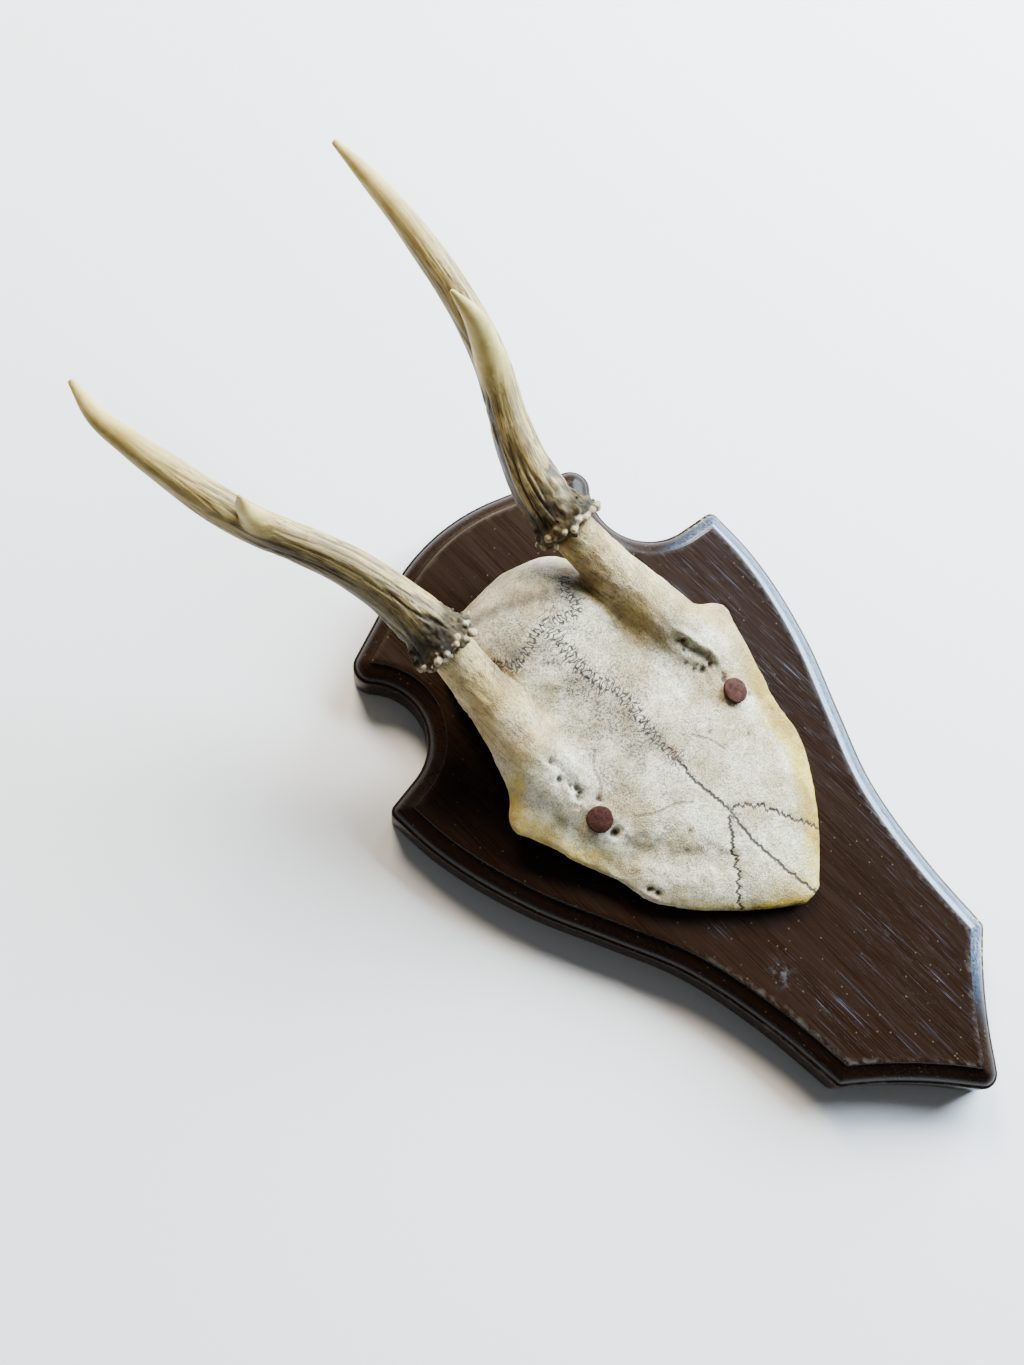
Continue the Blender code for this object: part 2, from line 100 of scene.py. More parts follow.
PEDICLE = [(27.5, 66.0, 19.0, 12.0), (27.0, 78.0, 26.5, 10.2), (25.8, 90.0, 32.6, 8.3),
           (24.6, 102.0, 37.4, 6.9), (24.0, 114.4, 42.0, 6.2)]
BURR_AXIS = (0.0, 0.915, 0.403)
SKULL_VOXEL = 0.55      # size of the steps in the fused skin before it is smoothed
BONE_GRAIN_DIP = math.radians(-20)
SCRAPE_TURN = math.radians(-35)

# Sutures as (across, along) points, with the reach of their squiggle at the first and last point
SUTURES = {
    "interfrontal": ([(0.3, 101.0), (-1.6, 89.0), (-0.9, 82.0), (1.2, 75.0), (0.4, 66.0), (-0.6, 58.0),
                      (-0.3, 52.0)], 2.0, 1.25),
    "midline": ([(-0.3, 52.0), (-1.2, 44.0), (-0.2, 32.0)], 0.5, 0.5),
    "internasal": ([(-0.2, 32.0), (-1.6, 24.0), (-1.2, 14.0), (0.7, 0.5)], 0.4, 0.4),
    "nasal_right": ([(-0.2, 32.0), (3.9, 30.0), (7.3, 25.6), (9.5, 20.5), (12.2, 15.6), (15.0, 10.8)],
                    0.9, 0.9),
    "nasal_left": ([(-0.2, 32.0), (-4.1, 28.2), (-7.5, 24.0), (-10.5, 19.3), (-14.2, 15.8), (-17.6, 11.6)],
                   1.0, 1.0),
    "coronal_left": ([(0.3, 101.0), (-3.5, 101.8), (-8.0, 100.4), (-13.4, 100.0), (-17.0, 104.5)], 1.35, 1.2),
    "coronal_right": ([(0.3, 101.0), (5.0, 99.4), (8.6, 98.5), (10.3, 100.6), (11.0, 104.0), (14.5, 107.0)],
                      1.35, 1.2),
    "crack_left": ([(-20.0, 49.5), (-15.0, 45.8), (-9.5, 43.6), (-6.0, 40.5)], 0.12, 0.12),
    "crack_high": ([(-23.5, 59.0), (-20.0, 62.0), (-18.0, 66.5), (-14.5, 69.0)], 0.12, 0.12),
    "crack_right": ([(7.5, 53.0), (10.5, 47.5), (11.3, 44.0)], 0.12, 0.12),
}
SEAM_SHIFT = 200        # apart in length, so that no two sutures wind alike
SLOPE_STEP = 0.12       # step for the slope of the winding lines
FAR = 99.0              # distance for places with no suture near
# Small holes in the bone: across, along, radius, depth
PITS = [(-28.0, 70.2, 1.2, 1.7), (-26.4, 74.8, 0.9, 0.9), (-26.6, 67.0, 0.8, 1.0), (-27.0, 63.4, 1.3, 1.8),
        (-25.6, 65.2, 0.7, 0.8), (-23.3, 59.6, 0.9, 0.9), (-26.6, 50.4, 1.4, 1.9),
        (-30.6, 33.6, 1.0, 0.9), (-29.6, 31.4, 1.0, 1.0),
        (-16.5, 41.5, 0.6, 0.4), (22.9, 70.0, 0.6, 0.6), (24.6, 71.6, 0.8, 1.3), (21.2, 67.4, 0.5, 0.5),
        (21.9, 64.6, 0.7, 0.7), (23.6, 62.8, 0.9, 0.9), (26.2, 62.0, 1.0, 1.3), (26.6, 56.9, 1.2, 1.3),
        (11.6, 50.0, 0.6, 0.4), (29.4, 49.0, 0.8, 0.5), (19.8, 42.0, 0.5, 0.4), (-12.0, 36.0, 0.6, 0.4)]
# Long hollows: start, end, width, depth, and the height of the lip on their outer side
HOLLOWS = [((23.4, 72.8), (26.4, 63.8), 1.3, 1.3, 0.7), ((-25.8, 75.0), (-25.4, 63.0), 1.5, 0.8, 0.2),
           ((-26.0, 43.0), (-11.0, 23.0), 4.5, 1.6, 0.0), ((31.0, 46.0), (24.0, 26.0), 3.5, 1.0, 0.0),
           ((-37.0, 62.0), (-32.0, 44.0), 3.0, 0.9, 0.0), ((0.0, 92.0), (0.5, 64.0), 5.0, -0.8, 0.0),
           ((14.0, 86.0), (18.0, 58.0), 5.0, 1.2, 0.0), ((-14.0, 84.0), (-20.0, 58.0), 5.0, 1.2, 0.0)]
# Grime on the bone, and painted shade in the crevice where the left pedicle meets the skull (the first
# entry): across, along, half width, half length, strength
STAINS_AND_SHADE = [(-18.5, 102.0, 4.0, 7.0, 0.85), (16.5, 104.0, 2.4, 5.0, 0.5), (-13.0, 101.0, 5.0, 2.8, 0.9),
          (-6.0, 101.0, 4.5, 2.2, 0.55), (0.5, 100.0, 3.0, 3.0, 0.7), (9.5, 101.0, 3.6, 3.4, 0.8),
          (11.5, 104.0, 2.2, 2.6, 0.6), (-24.5, 68.0, 3.2, 7.5, 0.85), (26.0, 66.5, 2.8, 7.0, 0.6),
          (25.0, 75.5, 4.0, 2.4, 0.6), (-26.5, 51.0, 2.6, 2.4, 0.6), (-25.0, 34.0, 7.0, 5.5, 0.28),
          (-0.4, 60.0, 2.0, 8.0, 0.3)]
RUST_RINGS = [(26.5, 55.0), (-26.9, 56.0)]

# Antlers, as in the solid
BEAM_RIGHT = [(24.0, 114.9, 42.2, 6.2), (24.1, 125.5, 47.0, 7.4), (26.5, 136.5, 52.3, 6.2),
              (30.5, 146.0, 57.0, 5.4), (35.2, 155.0, 61.5, 5.1), (38.9, 164.6, 65.2, 4.7),
              (41.7, 175.1, 68.4, 4.4), (43.9, 187.0, 71.5, 4.15), (45.6, 199.5, 74.5, 3.5),
              (46.6, 212.5, 77.0, 2.6), (47.1, 226.0, 79.0, 0.9)]
BEAM_LEFT = [(-24.0, 114.9, 42.2, 6.2), (-25.0, 124.5, 47.0, 7.0), (-26.6, 134.5, 52.0, 6.0),
             (-30.0, 145.8, 57.0, 5.4), (-34.9, 156.3, 61.2, 5.0), (-39.8, 165.5, 64.6, 4.9),
             (-44.0, 177.2, 68.3, 4.8), (-46.9, 190.4, 71.9, 4.2), (-49.0, 201.4, 74.6, 3.4),
             (-50.2, 211.5, 77.0, 2.6), (-48.4, 222.0, 79.0, 0.9)]
TINE_RIGHT = [(28.5, 141.5, 54.4, 4.3), (32.5, 150.5, 60.2, 4.5), (35.6, 158.5, 68.0, 4.1),
              (36.2, 164.2, 76.0, 3.0), (33.5, 170.9, 86.0, 0.6)]
TINE_LEFT = [(-33.5, 155.0, 60.5, 4.0), (-37.5, 162.3, 64.8, 4.0), (-40.6, 166.8, 70.5, 3.2),
             (-42.3, 168.3, 78.0, 1.9), (-42.9, 168.1, 86.0, 0.6)]
ANTLER_VOXEL = 0.33
# Rows of pearls: height on the beam, distance from its middle, how many, mean radius
PEARL_ROWS = [(0.3, 9.0, 22, 0.92), (1.6, 10.0, 23, 1.0), (3.4, 9.2, 17, 0.85), (6.0, 7.8, 12, 0.7),
              (9.5, 6.9, 8, 0.6)]
PALE_ROWS_BELOW = 3

# Nails, as in the solid
NAILS = {"nail_left": (-26.9, 56.0), "nail_right": (25.7, 52.8)}
NAIL_HEAD_RADIUS = 3.7
NAIL_SHANK_RADIUS = 1.1
NAIL_LIFT = 0.75
NAIL_DOME = 0.55
NAIL_SIDES = 72

# Camera: place and aim in metres, the image's up direction, and a lens of 1500 pixels for a 1365 pixel side
CAMERA_PLACE = (-0.12689, -0.00207, 0.41786)
CAMERA_FORWARD = (0.26181, 0.15118, -0.95320)
CAMERA_UP = (0.65711, 0.69545, 0.29079)
SENSOR = 36.0
LENS = SENSOR * 1500 / 1365
LIGHT_AIM = (0.0, 0.0, 0.02)
FLOOR = 4000


def spline(knots, where):
    """Catmull-Rom value at each place, for knots given as (place, value)."""
    xs = np.array([knot[0] for knot in knots], float)
    ys = np.array([knot[1] for knot in knots], float)
    slopes = np.gradient(ys, xs)
    where = np.clip(np.asarray(where, float), xs[0], xs[-1])
    i = np.clip(np.searchsorted(xs, where) - 1, 0, len(xs) - 2)
    span = xs[i + 1] - xs[i]
    t = (where - xs[i]) / span
    start = (2 * t ** 3 - 3 * t ** 2 + 1) * ys[i] + (t ** 3 - 2 * t ** 2 + t) * span * slopes[i]
    return start + (3 * t ** 2 - 2 * t ** 3) * ys[i + 1] + (t ** 3 - t ** 2) * span * slopes[i + 1]


def curve_through(knots, count):
    knots = np.array(knots, float)
    steps = np.linalg.norm(np.diff(knots[:, :3], axis=0), axis=1)
    places = np.concatenate([[0], np.cumsum(steps)])
    where = np.linspace(0, places[-1], count)
    return np.column_stack([spline(list(zip(places, knots[:, k])), where) for k in range(knots.shape[1])])


def step(low, high, value):
    """Eases from 0 at low to 1 at high."""
    t = np.clip((value - low) / (high - low), 0, 1)
    return t * t * (3 - 2 * t)


def spot(points, centre, size):
    """A soft patch, 1 at its centre, with one half width or one for each of its two ways."""
    return np.exp(-np.sum(((points[:, :2] - centre) / size) ** 2, axis=1))


def lattice(cells, seed):
    """A repeatable value from 0 to 1 for each whole-number cell."""
    c = cells.astype(np.int64)
    h = c[..., 0] * 374761393 + c[..., 1] * 668265263 + c[..., 2] * 2147483647 + seed * 1274126177
    h = (h ^ (h >> 13)) * 1103515245 & 0x7FFFFFFF
    h = (h ^ (h >> 16)) * 12345701 & 0x7FFFFFFF
    return (h ^ (h >> 11)) % 100003 / 100003


def noise(points, size, seed=0):
    """Smooth value noise from 0 to 1 with cells of the given size, one size or one for each axis."""
    p = np.asarray(points, float) / np.asarray(size, float)
    base = np.floor(p)
    t = p - base
    t = t * t * (3 - 2 * t)
    total = 0
    for corner in range(8):
        shift = np.array([corner & 1, corner >> 1 & 1, corner >> 2 & 1])
        weight = np.prod(np.where(shift, t, 1 - t), axis=-1)
        total = total + weight * lattice(base + shift, seed)
    return total


def layered(points, size, seed=0, layers=3):
    size = np.asarray(size, float)
    total, weight = 0, 0
    for k in range(layers):
        total = total + noise(points, size / 2 ** k, seed + 17 * k) / 2 ** k
        weight += 1 / 2 ** k
    return total / weight


# Outline of the shield

def arc(centre, radius, start, end, count):
    turns = np.linspace(start, end, count)
    return np.column_stack([centre[0] + radius * np.cos(turns), centre[1] + radius * np.sin(turns)])


def rounded(points, radius, count):
    """The first and second line of points, joined by an arc in place of their shared corner."""
    before, after = points
    corner = before[-1]
    back = before[-2] - corner
    ahead = after[1] - corner
    back = back / np.linalg.norm(back)
    ahead = ahead / np.linalg.norm(ahead)
    half = math.acos(float(np.clip(back @ ahead, -1, 1))) / 2
    reach = radius / math.tan(half)
    bisector = (back + ahead) / np.linalg.norm(back + ahead)
    centre = corner + bisector * (radius / math.sin(half))
    first = corner + back * reach
    last = corner + ahead * reach
    start = math.atan2(*(first - centre)[::-1])
    sweep = math.atan2(*(last - centre)[::-1]) - start
    sweep = (sweep + math.pi) % (2 * math.pi) - math.pi
    bend = arc(centre, radius, start, start + sweep, count)
    kept_before = before[np.linalg.norm(before - corner, axis=1) > reach * 1.3]
    kept_after = after[np.linalg.norm(after - corner, axis=1) > reach * 1.3]
    return kept_before, bend, kept_after


def ear_arc(count):
    """The round ear between the crown's straight end and the notch, touching both."""
    slope = -math.tan(CROWN_TURN)
    fall = CROWN_RADIUS * (1 - math.cos(CROWN_TURN))
    joint = np.array([CROWN_RADIUS * math.sin(CROWN_TURN), CROWN_TOP - fall])
    drop = EAR_RADIUS / math.cos(CROWN_TURN)
    base = joint[1] - slope * joint[0] - drop
    a = 1 + slope ** 2
    b = -2 * NOTCH_CENTRE[0] + 2 * slope * (base - NOTCH_CENTRE[1])
    c = NOTCH_CENTRE[0] ** 2 + (base - NOTCH_CENTRE[1]) ** 2 - (NOTCH_RADIUS + EAR_RADIUS) ** 2
    x = (-b - math.sqrt(b * b - 4 * a * c)) / (2 * a)
    centre = np.array([x, slope * x + base])
    towards_notch = math.atan2(NOTCH_CENTRE[1] - centre[1], NOTCH_CENTRE[0] - centre[0])
    return arc(centre, EAR_RADIUS, math.pi / 2 - CROWN_TURN, towards_notch, count), towards_notch


def right_half(fine):
    crown = arc((0, CROWN_TOP - CROWN_RADIUS), CROWN_RADIUS, math.pi / 2, math.pi / 2 - CROWN_TURN, 5 * fine)
    ear, towards_notch = ear_arc(5 * fine)
    notch = arc(NOTCH_CENTRE, NOTCH_RADIUS, towards_notch + math.pi, NOTCH_END, 8 * fine)[1:]
    straight = np.linspace(notch[-1], SHOULDER, 2 * fine)[1:]
    notch = np.vstack([notch, straight])
    side = curve_through(LONG_SIDE, 30 * fine)
    along = np.linspace(0, 1, 10 * fine)[:, None]
    tip = np.array([0.0, TIP_Y])
    chord = tip - side[-1]
    inwards = np.array([chord[1], -chord[0]]) / np.linalg.norm(chord)
    bottom = side[-1] + along * chord + 4 * along * (1 - along) * BOTTOM_BOW * inwards
    mirrored_bottom = bottom[::-1] * np.array([-1, 1])
    straight = np.linspace(crown[-1], ear[0], 4 * fine)[1:-1]
    notch, shoulder, side = rounded((notch, side), CORNER_RADIUS, 3 * fine)
    side, lower, bottom = rounded((side, bottom), CORNER_RADIUS, 3 * fine)
    bottom, point, _ = rounded((bottom, mirrored_bottom), TIP_RADIUS, 4 * fine + 1)
    point = point[:2 * fine + 1]
    return np.vstack([crown, straight, ear, notch, shoulder, side, lower, bottom, point])


def shield_outline(fine):
    half = right_half(fine)
    gaps = np.linalg.norm(np.diff(half, axis=0), axis=1)
    half = half[np.concatenate([[True], gaps > 0.02])]
    return np.vstack([half, half[-2:0:-1] * np.array([-1, 1])])


def inset(outline, distance):
    """The outline moved inwards, with the loops that this makes at tight corners pulled to one point."""
    if distance == 0:
        return outline.copy()
    ahead = np.roll(outline, -1, axis=0) - outline
    ahead /= np.linalg.norm(ahead, axis=1)[:, None]
    mean = ahead + np.roll(ahead, 1, axis=0)
    mean /= np.linalg.norm(mean, axis=1)[:, None]
    stretch = 1 / np.clip(np.sum(mean * ahead, axis=1), 0.5, 1)
    moved = outline + np.column_stack([mean[:, 1], -mean[:, 0]]) * (distance * stretch)[:, None]
    good = distances(moved, outline) > distance - 0.03
    count = len(moved)
    start = int(np.argmax(good))
    i = 0
    while i < count:
        here = (start + i) % count
        if good[here]:
            i += 1
            continue
        run = 0
        while not good[(start + i + run) % count]:
            run += 1
        a, b = moved[(here - 2) % count], moved[(here - 1) % count]
        c, d = moved[(here + run) % count], moved[(here + run + 1) % count]
        meet = crossing(a, b, c, d)
        for k in range(run):
            moved[(here + k) % count] = meet
        i += run
    return moved


def distances(points, outline):
    start = outline[None]
    span = (np.roll(outline, -1, axis=0) - outline)[None]
    length = np.maximum(np.sum(span ** 2, axis=2), 1e-9)
    share = np.clip(np.sum((points[:, None] - start) * span, axis=2) / length, 0, 1)
    return np.min(np.linalg.norm(points[:, None] - start - share[..., None] * span, axis=2), axis=1)


def distances_to(points, outline):
    """Distances for many points, a block at a time."""
    return np.concatenate([distances(points[low:low + 4000], outline) for low in range(0, len(points), 4000)])


def crossing(a, b, c, d):
    first, second = b - a, d - c
    turn = first[0] * second[1] - first[1] * second[0]
    if abs(turn) < 1e-6:
        return (b + c) / 2
    share = ((c - a)[0] * second[1] - (c - a)[1] * second[0]) / turn
    return a + first * share


# Mesh helpers

def add_object(name, mesh, look, body="root"):
    made = bpy.data.objects.new(name, mesh)
    bpy.context.scene.collection.objects.link(made)
    mesh.materials.append(look)
    if body:
        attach(made, body)
    return made


def raw_mesh(name, points, faces):
    mesh = bpy.data.meshes.new(name)
    mesh.from_pydata((np.asarray(points) * MM).tolist(), [], faces)
    mesh.update()
    return mesh


def tidy_mesh(mesh, merge=0.02):
    shape = bmesh.new()
    shape.from_mesh(mesh)
    bmesh.ops.remove_doubles(shape, verts=shape.verts, dist=merge * MM)
    bmesh.ops.recalc_face_normals(shape, faces=shape.faces)
    shape.to_mesh(mesh)
    shape.free()
    mesh.update()


def fused(name, parts, voxel):
    """One skin around overlapping closed parts."""
    points, faces = [], []
    for some_points, some_faces in parts:
        shift = sum(len(block) for block in points)
        points.append(some_points)
        faces += [tuple(int(k) + shift for k in face) for face in some_faces]
    rough = raw_mesh(name + "_rough", np.vstack(points), faces)
    holder = bpy.data.objects.new(name + "_rough", rough)
    bpy.context.scene.collection.objects.link(holder)
    skin = holder.modifiers.new("skin", "REMESH")
    skin.mode = "VOXEL"
    skin.voxel_size = voxel * MM
    skin.use_smooth_shade = True
    depsgraph = bpy.context.evaluated_depsgraph_get()
    mesh = bpy.data.meshes.new_from_object(holder.evaluated_get(depsgraph))
    bpy.data.objects.remove(holder, do_unlink=True)
    bpy.data.meshes.remove(rough)
    mesh.name = name
    return mesh


def read(items, field, width, kind=float):
    """A field of a mesh's vertices or edges as an array with one row for each."""
    flat = np.empty(len(items) * width, kind)
    items.foreach_get(field, flat)
    return flat.reshape(-1, width)


def read_points(mesh):
    return read(mesh.vertices, "co", 3) / MM


def write_points(mesh, points):
    mesh.vertices.foreach_set("co", (points * MM).ravel())
    mesh.update()


def relax(points, edges, weight, rounds):
    """Moves each point towards the middle of its neighbours, by its weight."""
    counts = np.bincount(edges.ravel(), minlength=len(points))[:, None]
    for _ in range(rounds):
        total = np.zeros_like(points)
        for k in range(3):
            total[:, k] = np.bincount(edges[:, 0], points[edges[:, 1], k], len(points))
            total[:, k] += np.bincount(edges[:, 1], points[edges[:, 0], k], len(points))
        points = points + weight[:, None] * (total / counts - points)
    return points


def store(mesh, name, values, kind="FLOAT", field="value"):
    """Keeps a value for each point of the mesh under a name that the materials read."""
    made = mesh.attributes.new(name, kind, "POINT")
    made.data.foreach_set(field, np.asarray(values, np.float32).ravel())


def smooth_faces(mesh):
    mesh.polygons.foreach_set("use_smooth", [True] * len(mesh.polygons))


def tube_faces(rings, around):
    i, j = np.meshgrid(np.arange(rings - 1), np.arange(around), indexing="ij")
    i, j = i.ravel(), j.ravel()
    k = (j + 1) % around
    low, high = i * around, (i + 1) * around
    return np.column_stack([low + j, low + k, high + k, high + j]).tolist()


def to_world(points):
    """From the skull's frame to the shield's."""
    x = SKULL_ORIGIN[0] + points[:, 0] * math.cos(SKULL_TURN) - points[:, 1] * math.sin(SKULL_TURN)
    y = SKULL_ORIGIN[1] + points[:, 0] * math.sin(SKULL_TURN) + points[:, 1] * math.cos(SKULL_TURN)
    return np.column_stack([x, y, points[:, 2]])


# Tubes

def frames_along(path, first_axis=None, last_axis=None):
    tangents = np.gradient(path, axis=0)
    if first_axis is not None:
        tangents[0] = first_axis
    if last_axis is not None:
        tangents[-1] = last_axis
    tangents /= np.linalg.norm(tangents, axis=1)[:, None]
    side = np.array([1.0, 0.0, 0.0])
    result = []
    for tangent in tangents:
        side = side - tangent * (side @ tangent)
        side /= np.linalg.norm(side)
        result.append((tangent, side, np.cross(tangent, side)))
    return result


def even_path(knots, count):
    """Centre line and radius at even steps of length."""
    path = curve_through(knots, 500)
    lengths = np.concatenate([[0], np.cumsum(np.linalg.norm(np.diff(path[:, :3], axis=0), axis=1))])
    where = np.linspace(0, lengths[-1], count)
    return where, np.column_stack([np.interp(where, lengths, path[:, k]) for k in range(4)])


def tube(knots, rings, around, swell=None, first_axis=None, last_axis=None):
    where, path = even_path(knots, rings)
    turns = np.linspace(0, 2 * math.pi, around, endpoint=False)
    frames = frames_along(path[:, :3], first_axis, last_axis)
    points = []
    for at, (x, y, z, size), (_, side, up) in zip(where, path, frames):
        grown = size + (swell(at) if swell is not None else 0)
        across, upward = grown * np.cos(turns)[:, None], grown * np.sin(turns)[:, None]
        points.append(np.array([x, y, z]) + across * side + upward * up)
    faces = tube_faces(rings, around)
    faces.append(list(range(around)))
    faces.append([(rings - 1) * around + k for k in range(around)])
    return np.vstack(points), faces


def ball(centre, radius, rings=7, around=10):
    """A closed lump."""
    turns = np.linspace(0, 2 * math.pi, around, endpoint=False)
    points = []
    for i in range(1, rings):
        wide, high = math.sin(math.pi * i / rings), math.cos(math.pi * i / rings)
        points.append(np.column_stack([wide * np.cos(turns), wide * np.sin(turns), np.full(around, high)]))
    faces = tube_faces(rings - 1, around)
    faces.append(list(range(around))[::-1])
    faces.append([(rings - 2) * around + k for k in range(around)])
    return np.asarray(centre) + np.vstack(points) * radius, faces


def flow_coordinates(points, knots, count=260):
    """Place of each point beside a centre line: two offsets across it and the length along it."""
    where, path = even_path(knots, count)
    frames = frames_along(path[:, :3])
    nearest = np.empty(len(points), np.int64)
    for low in range(0, len(points), 8000):
        block = points[low:low + 8000]
        away = np.sum((block[:, None] - path[None, :, :3]) ** 2, axis=2)
        nearest[low:low + 8000] = np.argmin(away, axis=1)
    tangent = np.array([f[0] for f in frames])[nearest]
    side = np.array([f[1] for f in frames])[nearest]
    up = np.array([f[2] for f in frames])[nearest]
    off = points - path[nearest, :3]
    along = where[nearest] + np.sum(off * tangent, axis=1)
    return np.column_stack([np.sum(off * side, axis=1), np.sum(off * up, axis=1), along]), path[nearest, 3]


# Node materials

class Field:
    """A value or colour in a node material. Fields are added and multiplied like numbers."""

    def __init__(self, look, socket):
        self.look = look
        self.socket = socket

    def math(self, operation, other=0.0):
        return self.look.add_node("Math", {0: self, 1: other}, operation=operation)

    def __add__(self, other):
        return self.math("ADD", other)

    def __sub__(self, other):
        return self.math("SUBTRACT", other)

    def __mul__(self, other):
        return self.math("MULTIPLY", other)

    def __truediv__(self, other):
        return self.math("DIVIDE", other)

    def fit(self, low, high, to_low=0.0, to_high=1.0):
        """Eases from to_low to to_high while the value goes from low to high."""
        ends = {"Value": self, "From Min": low, "From Max": high, "To Min": to_low, "To Max": to_high}
        return self.look.add_node("MapRange", ends, "Result", interpolation_type="SMOOTHSTEP")

    def blend(self, first, second, label=""):
        """From the first colour to the second by this share."""
        ends = {"Factor": self, "A": first, "B": second}
        return self.look.add_node("Mix", ends, "Result", data_type="RGBA", label=label)

    def bump(self, strength, distance, under=None):
        inputs = {"Strength": strength, "Distance": distance * MM, "Height": self}
        if under is not None:
            inputs["Normal"] = under
        return self.look.add_node("Bump", inputs, "Normal")


class Look:
    """A node material with short calls for the nodes used here."""

    def __init__(self, name):
        self.made = bpy.data.materials.new(name)
        self.made.use_nodes = True
        self.tree = self.made.node_tree
        self.coordinates = self.add_node("TexCoord", {}, "Object")

    def add_node(self, kind, inputs, output=0, **settings):
        """A new node's output as a field."""
        node = self.tree.nodes.new("ShaderNode" + kind)
        for name, value in settings.items():
            setattr(node, name, value)
        for key, value in inputs.items():
            self.put(value, node.inputs[key])
        return Field(self, node.outputs[output])

    def put(self, value, socket):
        if isinstance(value, Field):
            self.tree.links.new(value.socket, socket)
        elif socket.type == "RGBA":
            socket.default_value = (*value, 1.0)
        else:
            socket.default_value = value

    def mask(self, name, output="Fac"):
        """Values stored on the mesh under this name."""
        return self.add_node("Attribute", {}, output, attribute_name=name)

    def stretched(self, vector, scale, turn=(0, 0, 0)):
        return self.add_node("Mapping", {"Vector": vector, "Scale": scale, "Rotation": turn}, "Vector")

    def position(self, scale=(1, 1, 1), turn=(0, 0, 0)):
        """Object coordinates in millimetres, stretched by scale."""
        return self.stretched(self.coordinates, tuple(s / MM for s in scale), turn)

    def noise(self, vector, scale=1.0, detail=3.0, rough=0.5):
        inputs = {"Vector": vector, "Scale": scale, "Detail": detail, "Roughness": rough}
        return self.add_node("TexNoise", inputs, "Fac")

    def fibres(self, scale, detail, rough, turn=(0, 0, 0)):
        """Noise that is drawn out along the axes with a small scale."""
        return self.noise(self.position(scale, turn), 1.0, detail, rough)

    def cells(self, vector, scale):
        return self.add_node("TexVoronoi", {"Vector": vector, "Scale": scale}, "Distance")

    def join(self, x, y, z):
        return self.add_node("CombineXYZ", {0: x, 1: y, 2: z})

    def layers(self, colour, coats):
        """Lays each named coat, a colour and its share, over those before it."""
        for name, (coat, share) in coats.items():
            colour = share.blend(colour, coat, name)
        return colour

    def finish(self, channels):
        """Links fields to the shader and sets plain numbers on its own sockets."""
        for name, value in channels.items():
            self.put(value, self.tree.nodes["Principled BSDF"].inputs[name])
        return self.made


def oak_look():
    look = Look("stained_oak")
    fibre = look.fibres((2.6, 0.06, 2.6), 4.0, 0.6)
    broad = look.fibres((0.16, 0.02, 0.16), 3.0, 0.5)
    pore = look.fibres((3.4, 0.16, 3.4), 2.0, 0.5).fit(0.58, 0.70)
    scratch = look.fibres((3.0, 0.035, 3.0), 3.0, 0.6, (0, 0, SCRATCH_TURN))
    patch = look.fibres((0.12, 0.05, 0.12), 2.0, 0.6)
    dust = look.cells(look.position(), 0.36).fit(0.11, 0.06)
    wear_and_sheen = look.mask("wear_and_sheen")
    wood = broad.blend((0.0062, 0.0024, 0.0010), (0.0135, 0.0054, 0.0022))
    # painted highlight: the pale colour of the chips also stands in for glints of light on the moulding
    bare_and_glint = fibre.fit(0.4, 0.6).blend((0.34, 0.24, 0.08), (0.42, 0.40, 0.34))
    colour = look.layers(wood, {
        "lighter fibres": ((0.0175, 0.0076, 0.0034), fibre.fit(0.35, 0.75)),
        "pores": ((0.0025, 0.0013, 0.0009), pore * 0.38),
        # the scratches are real marks, but their blue tint is painted reflection of the window, and a band of
        # them on the right side of the face stands in for its sheen
        "scratches": ((0.10, 0.115, 0.16), scratch.fit(0.60, 0.67) * patch.fit(0.40, 0.56) * wear_and_sheen * 0.75),
        "rubbed edges": ((0.10, 0.085, 0.075),
                         look.mask("edge") * look.fibres((0.6, 0.25, 0.6), 4.0, 0.7).fit(0.42, 0.66) * 0.55),
        "dust": ((0.12, 0.09, 0.06), dust * 0.55),
        # painted reflection: the blue window light on the lit right side of the moulding
        "painted window reflection": ((0.10, 0.185, 0.30), look.mask("window_reflection_paint") * fibre.fit(0.66, 0.40, 0.05, 0.75)),
        "chips and glints": (bare_and_glint, look.mask("chip_and_glint") * look.fibres((1.0, 0.5, 1.0), 4.0, 0.75).fit(0.53, 0.62)),
        "smudge": ((0.12, 0.13, 0.14),
                   look.mask("smudge") * look.fibres((0.8, 0.45, 0.8), 4.0, 0.7).fit(0.46, 0.66) * 0.4)})
    rubbed = (pore + fibre) * (wear_and_sheen * 0.25 + 0.12)
    return look.finish({
        "Base Color": colour, "Roughness": (fibre + broad * 0.6).fit(0.4, 1.2, 0.22, 0.38),
        "Normal": rubbed.bump(0.55, -0.10), "Specular IOR Level": 0.11,
        "Coat Weight": look.mask("varnish"), "Coat Roughness": 0.16})


